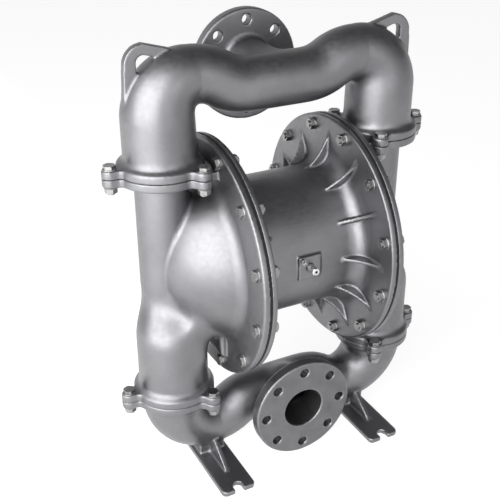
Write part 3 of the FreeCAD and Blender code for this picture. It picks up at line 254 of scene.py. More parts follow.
@dataclass(frozen=True)
class FacedFinish:
    """Cast aluminium faced on a lathe: flat and paler, with tool rings round the port's bore."""

    name: str = "cast_aluminium_face_turned"
    light: str = "7B7B7D"
    dark: str = "6F6F72"
    ring_mm: float = 4.0
    ringed_to_mm: float = 66.0
    ring_depth: float = 0.00025
    ring_fade_mm: float = 2.0
    cloud_mm: float = 30.0
    roughness: float = 0.4

    def build(self) -> bpy.types.Material:
        """Builds the material.

        Returns:
            The finished material.
        """
        material = blank_material(self.name)
        place = add_node(material, "ShaderNodeTexCoord").outputs["Object"]
        parts = add_node(material, "ShaderNodeSeparateXYZ", links={"Vector": place}).outputs
        above = add_node(material, "ShaderNodeMath", {"operation": "SUBTRACT", 1: AXIS_MM * MM},
                         {0: parts["Z"]}).outputs["Value"]
        height = add_node(material, "ShaderNodeMath", {"operation": "ABSOLUTE"},
                          {0: above}).outputs["Value"]
        rise = add_node(material, "ShaderNodeMath", {"operation": "SUBTRACT", 1: PORT_MM * MM},
                        {0: height}).outputs["Value"]
        flat = add_node(material, "ShaderNodeCombineXYZ",
                        links={"X": parts["X"], "Y": rise}).outputs["Vector"]
        reach = add_node(material, "ShaderNodeVectorMath", {"operation": "LENGTH"},
                         {0: flat}).outputs["Value"]
        # The tool's feed is under 1 mm in life; the rings are drawn 4 mm apart so that they show.
        turns = add_node(material, "ShaderNodeMath",
                         {"operation": "MULTIPLY", 1: 2 * math.pi / (self.ring_mm * MM)},
                         {0: reach}).outputs["Value"]
        wave = add_node(material, "ShaderNodeMath", {"operation": "SINE"}, {0: turns}).outputs["Value"]
        inner = add_node(material, "ShaderNodeMapRange",
                         {"From Min": (self.ringed_to_mm - self.ring_fade_mm) * MM,
                          "From Max": self.ringed_to_mm * MM, "To Min": 1.0, "To Max": 0.0},
                         {"Value": reach}).outputs["Result"]
        rings = add_node(material, "ShaderNodeMath", {"operation": "MULTIPLY"},
                         {0: wave, 1: inner}).outputs["Value"]
        cloud = noise(material, place, self.cloud_mm, 4.0)
        colour = ramp(material, cloud, [(0.3, srgb(self.dark)), (0.7, srgb(self.light))])
        return surfaced(material, rings, (0.7, self.ring_depth),
                        {"Metallic": 1.0, "Roughness": self.roughness}, {"Base Color": colour})


@dataclass(frozen=True)
class MetalFinish:
    """Turned, ground or plated metal: smooth, with faint tool lines that catch the light."""

    name: str
    colour: str
    worn: str
    roughness_low: float = 0.22
    roughness_high: float = 0.34
    patch_mm: float = 18.0
    line_mm: float = 0.8
    line_depth: float = 0.00002

    def build(self) -> bpy.types.Material:
        """Builds the material.

        Returns:
            The finished material.
        """
        material = blank_material(self.name)
        place = add_node(material, "ShaderNodeTexCoord").outputs["Object"]
        patch = noise(material, place, self.patch_mm, 3.0)
        colour = ramp(material, patch, [(0.35, srgb(self.worn)), (0.65, srgb(self.colour))])
        # Tool lines are about 0.1 mm apart in life; they are drawn coarser so that they show.
        lines = noise(material, place, self.line_mm, 2.0)
        rough = add_node(material, "ShaderNodeMapRange",
                         {"From Min": 0.3, "From Max": 0.7, "To Min": self.roughness_low,
                          "To Max": self.roughness_high}, {"Value": patch}).outputs["Result"]
        return surfaced(material, lines, (0.4, self.line_depth), {"Metallic": 1.0},
                        {"Base Color": colour, "Roughness": rough})


@dataclass(frozen=True)
class MouldedFinish:
    """Moulded rubber or plastic: dark, with a dull fine-grained skin and no metal in it."""

    name: str
    colour: str
    worn: str
    roughness: float = 0.62
    patch_mm: float = 25.0
    grain_mm: float = 0.9
    grain_depth: float = 0.00004

    def build(self) -> bpy.types.Material:
        """Builds the material.

        Returns:
            The finished material.
        """
        material = blank_material(self.name)
        place = add_node(material, "ShaderNodeTexCoord").outputs["Object"]
        patch = noise(material, place, self.patch_mm, 3.0)
        colour = ramp(material, patch, [(0.35, srgb(self.worn)), (0.65, srgb(self.colour))])
        # The mould's own grain is finer in life; it is drawn coarser so that it shows.
        grain = noise(material, place, self.grain_mm, 2.0)
        return surfaced(material, grain, (0.5, self.grain_depth), {"Roughness": self.roughness},
                        {"Base Color": colour})


def applied(piece: bpy.types.Object) -> bpy.types.Mesh:
    """Gives a piece its modified mesh for good and removes the modifiers.

    Args:
        piece: the object whose modifiers are used up.

    Returns:
        The piece's new mesh.
    """
    graph = bpy.context.evaluated_depsgraph_get()
    mesh = bpy.data.meshes.new_from_object(piece.evaluated_get(graph))
    old = piece.data
    piece.modifiers.clear()
    piece.data = mesh
    bpy.data.meshes.remove(old)
    return mesh


def linked_piece(name: str, mesh: bpy.types.Mesh) -> bpy.types.Object:
    """Makes an object for a mesh and links it into the scene.

    Args:
        name: the object's name.
        mesh: the mesh that it shows.

    Returns:
        The new object.
    """
    piece = bpy.data.objects.new(name, mesh)
    bpy.context.collection.objects.link(piece)
    return piece


def corners_of(mesh: bpy.types.Mesh) -> np.ndarray:
    """Places of a mesh's points, one row for each.

    Args:
        mesh: the mesh that is read.

    Returns:
        Array of x, y and z in metres.
    """
    places = np.empty(len(mesh.vertices) * 3)
    mesh.vertices.foreach_get("co", places)
    return places.reshape(-1, 3)


def about_centre(points: np.ndarray) -> np.ndarray:
    """Turns places in metres about the floor's origin into millimetres about the pump's centre."""
    return points / MM - np.array((0.0, 0.0, AXIS_MM))


def break_edges(node: bpy.types.Object, width_mm: float, degrees: float) -> None:
    """Breaks the sharp edges of a carried-over solid so that they catch the light.

    Args:
        node: the carried-over solid, whose own points stay where they are.
        width_mm: width of each broken edge.
        degrees: least angle between two faces whose edge is broken.
    """
    node.modifiers.new("joined_facets", "WELD").merge_threshold = SAME_POINT
    edge = node.modifiers.new("broken_edges", "BEVEL")
    edge.width = width_mm * MM
    edge.segments = 2
    edge.angle_limit = math.radians(degrees)
    node.modifiers.new("even_shading", "WEIGHTED_NORMAL").keep_sharp = True


class SkinMesh:
    """Points, edges and quads of a remeshed skin, for rounding its inside corners."""

    shrink: float = 0.5
    swell: float = -0.53
    ironed_share: float = 0.7
    normals_every: int = 6

    def __init__(self, mesh: bpy.types.Mesh) -> None:
        """Reads the mesh into arrays.

        Args:
            mesh: a mesh made of quads only.
        """
        self.mesh = mesh
        self.points = corners_of(mesh)
        edges = np.empty(len(mesh.edges) * 2, dtype=np.int64)
        mesh.edges.foreach_get("vertices", edges)
        self.edges = edges.reshape(-1, 2)
        corners = np.empty(len(mesh.loops), dtype=np.int64)
        mesh.loops.foreach_get("vertex_index", corners)
        self.quads = corners.reshape(-1, 4)

    def write(self) -> None:
        """Writes the points back into the mesh."""
        self.mesh.vertices.foreach_set("co", self.points.ravel())
        self.mesh.update()

    @staticmethod
    def spread(values: np.ndarray, places: np.ndarray, count: int) -> np.ndarray:
        """Adds rows of values up at the given places.

        Args:
            values: one row of three numbers for each place.
            places: index of the point that each row is added to.
            count: number of points.

        Returns:
            The sums, one row for each point.
        """
        sums = np.empty((count, 3))
        for axis in range(3):
            sums[:, axis] = np.bincount(places, values[:, axis], count)
        return sums

    @classmethod
    def pull(cls, points: np.ndarray, edges: np.ndarray, degree: np.ndarray) -> np.ndarray:
        """Way from each point to the middle of its neighbours.

        Args:
            points: the points.
            edges: two point indices for each edge.
            degree: number of edges at each point.

        Returns:
            One vector for each point.
        """
        first, second = edges.T
        total = cls.spread(points[second], first, len(points))
        total += cls.spread(points[first], second, len(points))
        return total / degree - points

    def patch(self, inside: np.ndarray) -> tuple[np.ndarray, np.ndarray, np.ndarray, np.ndarray]:
        """Part of the skin round the points that may move.

        Args:
            inside: whether each point of the skin may move.

        Returns:
            The part's points in the skin, each skin point's place in the part or -1, and the part's
            edges and the number of edges at each of its points.
        """
        near = inside[self.edges].any(axis=1)
        kept = np.unique(self.edges[near])
        order = np.full(len(self.points), -1)
        order[kept] = np.arange(len(kept))
        edges = order[self.edges[near]]
        degree = np.bincount(edges.ravel(), minlength=len(kept))[:, None]
        return kept, order, edges, degree

    def normals(self, points: np.ndarray, quads: np.ndarray) -> np.ndarray:
        """Outward unit normal at each point.

        Args:
            points: the points.
            quads: four point indices for each face.

        Returns:
            One unit vector for each point.
        """
        across = points[quads[:, 2]] - points[quads[:, 0]]
        along = points[quads[:, 3]] - points[quads[:, 1]]
        face = np.cross(across, along)
        total = self.spread(np.tile(face, (4, 1)), quads.T.ravel(), len(points))
        return total / np.maximum(np.linalg.norm(total, axis=1), 1e-12)[:, None]

    def relax(self, passes: int) -> None:
        """Takes the voxel steps out of the skin without shrinking it.

        Args:
            passes: number of paired smoothing and swelling passes.
        """
        degree = np.bincount(self.edges.ravel(), minlength=len(self.points))[:, None]
        for _ in range(passes):
            for share in (self.shrink, self.swell):
                self.points += share * self.pull(self.points, self.edges, degree)

    def iron(self, shares: np.ndarray, passes: int) -> None:
        """Smooths part of the skin, bumps and hollows alike.

        Args:
            shares: how far each point takes part, from zero to one.
            passes: number of smoothing passes.
        """
        kept, _, edges, degree = self.patch(shares > 0)
        points = self.points[kept]
        share = shares[kept][:, None] * self.ironed_share
        for _ in range(passes):
            points += share * self.pull(points, edges, degree)
        self.points[kept] = points

    def fill_corners(self, inside: np.ndarray, radius: float, spacing: float) -> None:
        """Fills inside corners up to a radius; outside corners and wide hollows stay as they are.

        Args:
            inside: whether each point may move.
            radius: radius of the fillet, in metres.
            spacing: usual distance between neighbouring points, in metres.
        """
        kept, order, edges, degree = self.patch(inside)
        quads = order[self.quads]
        quads = quads[(quads >= 0).all(axis=1)]
        points = self.points[kept]
        moves = inside[kept][:, None]
        # In a fillet of this radius the middle of a point's neighbours stands this far above it.
        limit = spacing ** 2 / (4 * radius)
        # The fill creeps out of a corner with the root of the steps, and these take it right across.
        steps = int((1.5 * radius / spacing) ** 2)
        for step in range(steps):
            if step % self.normals_every == 0:
                normals = self.normals(points, quads)
            stand = (self.pull(points, edges, degree) * normals).sum(axis=1, keepdims=True)
            points += moves * normals * np.clip(stand - limit, 0.0, None)
        self.points[kept] = points


@dataclass(frozen=True)
class Zone:
    """Box in millimetres about the pump's centre, where a casting's skin is treated in its own way."""

    low: Place
    high: Place

    def mirrored(self) -> Self:
        """The same zone on the other side of the pump's middle plane."""
        return replace(self, low=(-self.high[0], *self.low[1:]), high=(-self.low[0], *self.high[1:]))


@dataclass(frozen=True)
class BlendZone(Zone):
    """Zone whose inside corners get a larger fillet."""

    radius_mm: float

    def holds(self, points: np.ndarray) -> np.ndarray:
        """Whether each point lies in the box.

        Args:
            points: places in metres, about the floor's origin.

        Returns:
            One truth value for each point.
        """
        centred = about_centre(points)
        return ((centred > self.low) & (centred < self.high)).all(axis=1)


@dataclass(frozen=True)
class IronedZone(Zone):
    """Zone whose skin is smoothed, most at its middle."""

    passes: int

    def shares(self, points: np.ndarray) -> np.ndarray:
        """How far each point takes part: one in the middle of the box, zero at its sides.

        Args:
            points: places in metres, about the floor's origin.

        Returns:
            One share for each point.
        """
        low, high = np.array(self.low), np.array(self.high)
        across = np.abs(2 * (about_centre(points) - low) / (high - low) - 1)
        return np.clip(1 - across ** 4, 0.0, 1.0).prod(axis=1) * (across < 1).all(axis=1)


@dataclass(frozen=True)
class FacedRing:
    """Flat face that a lathe has cut on a casting, in millimetres about the pump's centre."""

    axis: Axis
    level: float
    centre: Place
    reach: float
    level_slack: float = 0.4
    least_facing: float = 0.99

    def covers(self, middles: np.ndarray, normals: np.ndarray) -> np.ndarray:
        """Whether each polygon belongs to the face.

        Args:
            middles: the polygons' middles, in metres.
            normals: the polygons' normals.

        Returns:
            One truth value for each polygon.
        """
        centred = about_centre(middles)
        on_level = np.abs(centred[:, self.axis.value] - self.level) < self.level_slack
        faces_out = np.abs(normals[:, self.axis.value]) > self.least_facing
        near = np.linalg.norm(centred - np.array(self.centre), axis=1) < self.reach
        return on_level & faces_out & near


@dataclass
class Casting:
    """One cast piece: the solid's skin with rounded edges and filled inside corners."""

    node: str
    skin: bpy.types.Material
    faced: bpy.types.Material
    voxel_mm: float = 2.2
    corner_mm: float = 8.0
    faces_kept: int = 50000
    zones: tuple[BlendZone, ...] = ()
    ironed: tuple[IronedZone, ...] = ()
    rings: tuple[FacedRing, ...] = ()
    sliders: tuple[str, ...] = ()
    running_mm: float = 0.6
    wall_from: float = 0.8
    shading_weight: int = 60

    def build(self) -> bpy.types.Object:
        """Builds the piece, dresses it and puts it in the node's place.

        Returns:
            The finished piece.
        """
        piece = linked_piece(self.node + "_cast", frame["nodes"][self.node].data.copy())
        self.remesh(piece)
        self.round_corners(piece.data)
        self.lighten(piece)
        self.dress(piece)
        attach(piece, PUMP_BODY)
        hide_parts(self.node)
        LOG.info("%s: %d faces", piece.name, len(piece.data.polygons))
        return piece

    def remesh(self, piece: bpy.types.Object) -> None:
        """Turns the solid's facets into an even skin of quads.

        Args:
            piece: the object that holds a copy of the solid.
        """
        change = piece.modifiers.new("even_skin", "REMESH")
        change.mode = "VOXEL"
        change.voxel_size = self.voxel_mm * MM
        applied(piece)

    def round_corners(self, mesh: bpy.types.Mesh) -> None:
        """Smooths the skin and fills its inside corners.

        Args:
            mesh: the remeshed skin.
        """
        skin = SkinMesh(mesh)
        skin.relax(passes=2)
        spacing = self.voxel_mm * MM
        skin.fill_corners(np.ones(len(skin.points), dtype=bool), self.corner_mm * MM, spacing)
        for zone in self.zones:
            skin.fill_corners(zone.holds(skin.points), zone.radius_mm * MM, spacing)
        for zone in self.ironed:
            skin.iron(zone.shares(skin.points), zone.passes)
        skin.relax(passes=1)
        skin.write()

    def lighten(self, piece: bpy.types.Object) -> None:
        """Joins faces where the skin is nearly flat, and shades the rest smoothly.

        Args:
            piece: the object with the finished skin.
        """
        change = piece.modifiers.new("fewer_faces", "DECIMATE")
        change.ratio = min(1.0, self.faces_kept / (2 * len(piece.data.polygons)))
        mesh = applied(piece)
        low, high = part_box(self.node)
        points = np.clip(corners_of(mesh), low, high)
        for name in self.sliders:
            self.clear_bore(points, name)
        mesh.vertices.foreach_set("co", points.ravel())
        mesh.shade_smooth()
        piece.modifiers.new("even_shading", "WEIGHTED_NORMAL").weight = self.shading_weight

    def clear_bore(self, points: np.ndarray, slider: str) -> None:
        """Moves a bore's wall outward until the round piece that slides in it runs free.

        Args:
            points: the skin's points in metres, which are changed in place.
            slider: CAD node of the sliding piece, whose axis runs along X.
        """
        low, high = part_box(slider)
        radius = (high.z - low.z) / 2
        across = points[:, 1:] - np.array(((low.y + high.y) / 2, (low.z + high.z) / 2))
        distance = np.hypot(across[:, 0], across[:, 1])
        wanted = radius + self.running_mm * MM
        wall = (distance > self.wall_from * radius) & (distance < wanted)
        points[wall, 1:] += across[wall] * (wanted / distance[wall] - 1)[:, None]

    def dress(self, piece: bpy.types.Object) -> None:
        """Gives the cast skin and the faced surfaces their finishes.

        Args:
            piece: the object with the finished skin.
        """
        mesh = piece.data
        mesh.materials.clear()
        mesh.materials.append(self.skin)
        mesh.materials.append(self.faced)
        count = len(mesh.polygons)
        middles, normals = np.empty(count * 3), np.empty(count * 3)
        mesh.polygons.foreach_get("center", middles)
        mesh.polygons.foreach_get("normal", normals)
        covered = np.zeros(count, dtype=bool)
        for ring in self.rings:
            covered |= ring.covers(middles.reshape(-1, 3), normals.reshape(-1, 3))
        mesh.polygons.foreach_set("material_index", covered.astype(np.int32))


@dataclass
class Castings:
    """All castings of the pump: centre body, two fluid covers and two manifolds."""

    skin: bpy.types.Material
    faced: bpy.types.Material
    port_face: float = 127.0
    port_reach: float = 98.0
    web_blend_mm: float = 22.0
    notch_blend_mm: float = 40.0
    elbow_blend_mm: float = 24.0
    neck_blend_mm: float = 16.0
    large_faces: int = 70000

    def build(self) -> None:
        """Builds the five castings in order, from the middle outwards."""
        Casting("centre_body", self.skin, self.faced, corner_mm=7.0,
                faces_kept=self.large_faces).build()
        self.build_covers()
        self.build_manifolds()

    def build_covers(self) -> None:
        """Builds both fluid covers, whose web and shoulder flow into the dome."""
        web = BlendZone((140.0, -110.0, -205.0), (300.0, 70.0, -20.0), self.web_blend_mm)
        column = BlendZone((140.0, -75.0, -20.0), (300.0, 75.0, 175.0), self.web_blend_mm)
        shoulder = IronedZone((141.0, -125.0, -215.0), (292.0, 80.0, -30.0), passes=150)
        notch = BlendZone((168.0, -125.0, -190.0), (300.0, 70.0, -40.0), self.notch_blend_mm)
        Casting("fluid_cover_right", self.skin, self.faced, zones=(web, column, notch),
                ironed=(shoulder,)).build()
        Casting("fluid_cover_left", self.skin, self.faced,
                zones=(web.mirrored(), column.mirrored(), notch.mirrored()),
                ironed=(shoulder.mirrored(),)).build()

    def build_manifolds(self) -> None:
        """Builds both manifolds, with a turned face on each port flange."""
        upper_neck = BlendZone((-90.0, -20.0, 240.0), (90.0, 98.0, 370.0), self.neck_blend_mm)
        lower_neck = BlendZone((-90.0, -98.0, -370.0), (90.0, 20.0, -240.0), self.neck_blend_mm)
        elbow = BlendZone((100.0, -70.0, 215.0), (215.0, 70.0, 330.0), self.elbow_blend_mm)
        upper_face, lower_face = (
            FacedRing(Axis.Y, side * self.port_face,
                      (0.0, side * self.port_face, side * PORT_MM), self.port_reach)
            for side in (1, -1))
        bend = IronedZone((140.0, -75.0, 200.0), (268.0, 75.0, 292.0), passes=60)
        crook = IronedZone((125.0, -75.0, 235.0), (200.0, 75.0, 315.0), passes=90)
        upper_root = IronedZone((-95.0, -35.0, 235.0), (95.0, 92.0, 365.0), passes=60)
        lower_root = IronedZone((-95.0, -92.0, -365.0), (95.0, 35.0, -225.0), passes=60)
        Casting("discharge_manifold", self.skin, self.faced, faces_kept=self.large_faces,
                zones=(upper_neck, elbow, elbow.mirrored()),
                ironed=(crook, crook.mirrored(), bend, bend.mirrored(), upper_root),
                rings=(upper_face,)).build()
        Casting("suction_manifold", self.skin, self.faced, faces_kept=self.large_faces,
                zones=(lower_neck,), ironed=(lower_root,), rings=(lower_face,)).build()


@dataclass
class Washers:
    """Set of plain washers under bolt heads and nuts, all of one size."""

    name: str
    finish: bpy.types.Material
    inner_mm: float = 6.4
    outer_mm: float = 11.8
    thick_mm: float = 1.8
    chamfer_mm: float = 0.5
    steps: int = 36

    def build(self, places: list[tuple[Vector, Axis, int]]) -> bpy.types.Object:
        """Builds the set as one piece.

        Args:
            places: seat centre in millimetres about the pump's centre, axis and direction of each.

        Returns:
            The finished piece.
        """
        points: list[Vector] = []
        faces: list[tuple[int, ...]] = []
        for seat, axis, sense in places:
            self.add_ring(points, faces, seat, axis, sense)
        mesh = bpy.data.meshes.new(self.name)
        mesh.from_pydata(points, [], faces)
        mesh.update()
        mesh.materials.append(self.finish)
        piece = linked_piece(self.name, mesh)
        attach(piece, PUMP_BODY)
        LOG.info("%s: %d washers", self.name, len(places))
        return piece

    def profile(self) -> list[tuple[float, float]]:
        """Corners of the washer's section.

        Returns:
            Radius and height of each corner, in millimetres.
        """
        cut, top = self.chamfer_mm, self.thick_mm
        return [(self.inner_mm, 0.0), (self.outer_mm, 0.0), (self.outer_mm, top - cut),
                (self.outer_mm - cut, top), (self.inner_mm, top)]

    def add_ring(self, points: list[Vector], faces: list[tuple[int, ...]], seat: Vector,
                 axis: Axis, sense: int) -> None:
        """Adds one washer's points and faces.

        Args:
            points: list that the points are added to, in metres.
            faces: list that the faces are added to.
            seat: centre of the face that the washer lies on.
            axis: axis of the bolt.
            sense: +1 or -1, the way from the seat to the head.
        """
        section = self.profile()
        start, count = len(points), len(section)
        up = Vector([1.0 if index == axis.value else 0.0 for index in range(3)]) * sense
        side = Vector((0.0, 1.0, 0.0)) if axis is not Axis.Y else Vector((1.0, 0.0, 0.0))
        third = up.cross(side)
        centre = seat + Vector((0.0, 0.0, AXIS_MM))
        for step in range(self.steps):
            turn = 2 * math.pi * step / self.steps
            out = side * math.cos(turn) + third * math.sin(turn)
            points.extend((centre + out * radius + up * height) * MM for radius, height in section)
        for step in range(self.steps):
            here, following = start + step * count, start + (step + 1) % self.steps * count
            for corner in range(count):
                after = (corner + 1) % count
                faces.append((here + corner, following + corner, following + after, here + after))


@dataclass
class Fasteners:
    """Hexagon bolts and nuts of rims and joints, with a washer under each."""

    finish: bpy.types.Material
    rim_circle: float = 200.0
    rim_count: int = 12
    rim_first_degrees: float = 15.0
    cover_seat: float = 136.2
    body_seat: float = 111.2
    ear_circle: float = 88.0
    ear_angles: tuple[int, ...] = (0, 120, 240)
    plate_thick: float = 15.0
    upper_joint: Place = (216.0, 0.0, 181.0)
    lower_joint: Place = (221.0, -24.0, -243.0)
    edge_mm: float = 0.4
    sharp_degrees: float = 24.0

    def build(self) -> None:
        """Dresses the solids' fasteners and adds the washers."""
        for name in frame["nodes"]:
            if name.startswith(("rim_bolts", "rim_nuts", "lower_joint", "upper_joint")):
                break_edges(frame["nodes"][name], self.edge_mm, self.sharp_degrees)
        for side, sign in (("left", -1), ("right", 1)):
            Washers(f"rim_washers_{side}", self.finish).build(self.rim_seats(sign))
            Washers(f"joint_washers_{side}", self.finish).build(self.joint_seats(sign))

    def rim_seats(self, sign: int) -> list[tuple[Vector, Axis, int]]:
        """Washer seats round one rim, on the cover's and the body's side.

        Args:
            sign: -1 for the left rim, +1 for the right.

        Returns:
            Centre, axis and direction of each washer.
        """
        seats = []
        for index in range(self.rim_count):
            turn = math.radians(self.rim_first_degrees + 360 / self.rim_count * index)
            across, up = self.rim_circle * math.cos(turn), self.rim_circle * math.sin(turn)
            seats.append((Vector((sign * self.cover_seat, across, up)), Axis.X, sign))
            seats.append((Vector((sign * self.body_seat, across, up)), Axis.X, -sign))
        return seats

    def joint_seats(self, sign: int) -> list[tuple[Vector, Axis, int]]:
        """Washer seats at the upper and lower joint of one side.

        Args:
            sign: -1 for the left side, +1 for the right.

        Returns:
            Centre, axis and direction of each washer.
        """
        seats = []
        for joint in (self.upper_joint, self.lower_joint):
            for angle in self.ear_angles:
                turn = math.radians(angle if sign > 0 else angle + 180)
                x = sign * joint[0] + self.ear_circle * math.cos(turn)
                y = joint[1] + self.ear_circle * math.sin(turn)
                for side in (1, -1):
                    seats.append((Vector((x, y, joint[2] + side * self.plate_thick)), Axis.Z, side))
        return seats


@dataclass
class AirValve:
    """Main air valve on the rear pad: cast block, end caps and exhaust muffler."""

    skin: bpy.types.Material
    faced: bpy.types.Material
    block_voxel_mm: float = 1.3
    block_corner_mm: float = 2.5
    block_faces: int = 24000
    edge_mm: float = 0.8
    sharp_degrees: float = 30.0

    def build(self) -> None:
        """Builds the block and breaks the edges of the turned pieces."""
        Casting("air_valve_block", self.skin, self.faced, voxel_mm=self.block_voxel_mm,
                corner_mm=self.block_corner_mm, faces_kept=self.block_faces,
                sliders=("valve_spool",)).build()
        for name in ("valve_end_cap_left", "valve_end_cap_right", "exhaust_muffler"):
            break_edges(frame["nodes"][name], self.edge_mm, self.sharp_degrees)


@dataclass
class Diaphragm:
    """Moulded rubber diaphragm in equal sectors, clamped at the rim and carried by the rod in the middle.

    The rim stands back a hair between the castings' rounded edges, which gives the eye a black line.
    """

    side: str
    sectors: int = 12
    arch_inner_mm: float = 112.0
    arch_outer_mm: float = 150.0
    rim_mm: float = 218.8
    smooth_degrees: float = 30.0

    def build(self) -> None:
        """Builds all sectors in the place of the solid."""
        for index in range(self.sectors):
            self.build_sector(index)
        LOG.info("diaphragm_%s: %d sectors", self.side, self.sectors)

    def build_sector(self, index: int) -> bpy.types.Object:
        """Cuts one sector out of a copy of the solid's mesh.

        Args:
            index: number of the sector, counted from the front.

        Returns:
            The finished piece.
        """
        node = f"diaphragm_{self.side}"
        low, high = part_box(node)
        middle = (low + high) / 2
        step = 2 * math.pi / self.sectors
        first = step * index
        form = bmesh.new()
        form.from_mesh(frame["nodes"][node].data)
        bmesh.ops.remove_doubles(form, verts=form.verts[:], dist=SAME_POINT)
        self.cut(form, middle, Vector((0.0, -math.sin(first), math.cos(first))))
        last = first + step
        self.cut(form, middle, Vector((0.0, math.sin(last), -math.cos(last))))
        for point in form.verts:
            out = Vector((0.0, point.co.y - middle.y, point.co.z - middle.z))
            point.co -= out.normalized() * max(0.0, out.length - self.rim_mm * MM)
        bmesh.ops.recalc_face_normals(form, faces=form.faces[:])
        for face in form.faces:
            face.smooth = True
        for edge in form.edges:
            edge.smooth = edge.calc_face_angle(math.pi) < math.radians(self.smooth_degrees)
        mesh = frame["nodes"][node].data.copy()
        form.to_mesh(mesh)
        form.free()
        piece = linked_piece(f"{node}_sector_{index:02d}", mesh)
        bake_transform(piece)
        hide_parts(node)
        return piece

    def cut(self, form: bmesh.types.BMesh, place: Vector, kept: Vector) -> None:
        """Cuts a form along a plane and closes the cut.

        Args:
            form: the form that is cut.
            place: a point of the plane.
            kept: direction of the side that stays.
        """
        parts = form.verts[:] + form.edges[:] + form.faces[:]
        result = bmesh.ops.bisect_plane(form, geom=parts, dist=SAME_POINT / 10, plane_co=place,
                                        plane_no=kept, clear_inner=True)
        border = [part for part in result["geom_cut"] if isinstance(part, bmesh.types.BMEdge)]
        lids = bmesh.ops.edgeloop_fill(form, edges=border)["faces"]
        bmesh.ops.triangulate(form, faces=lids)


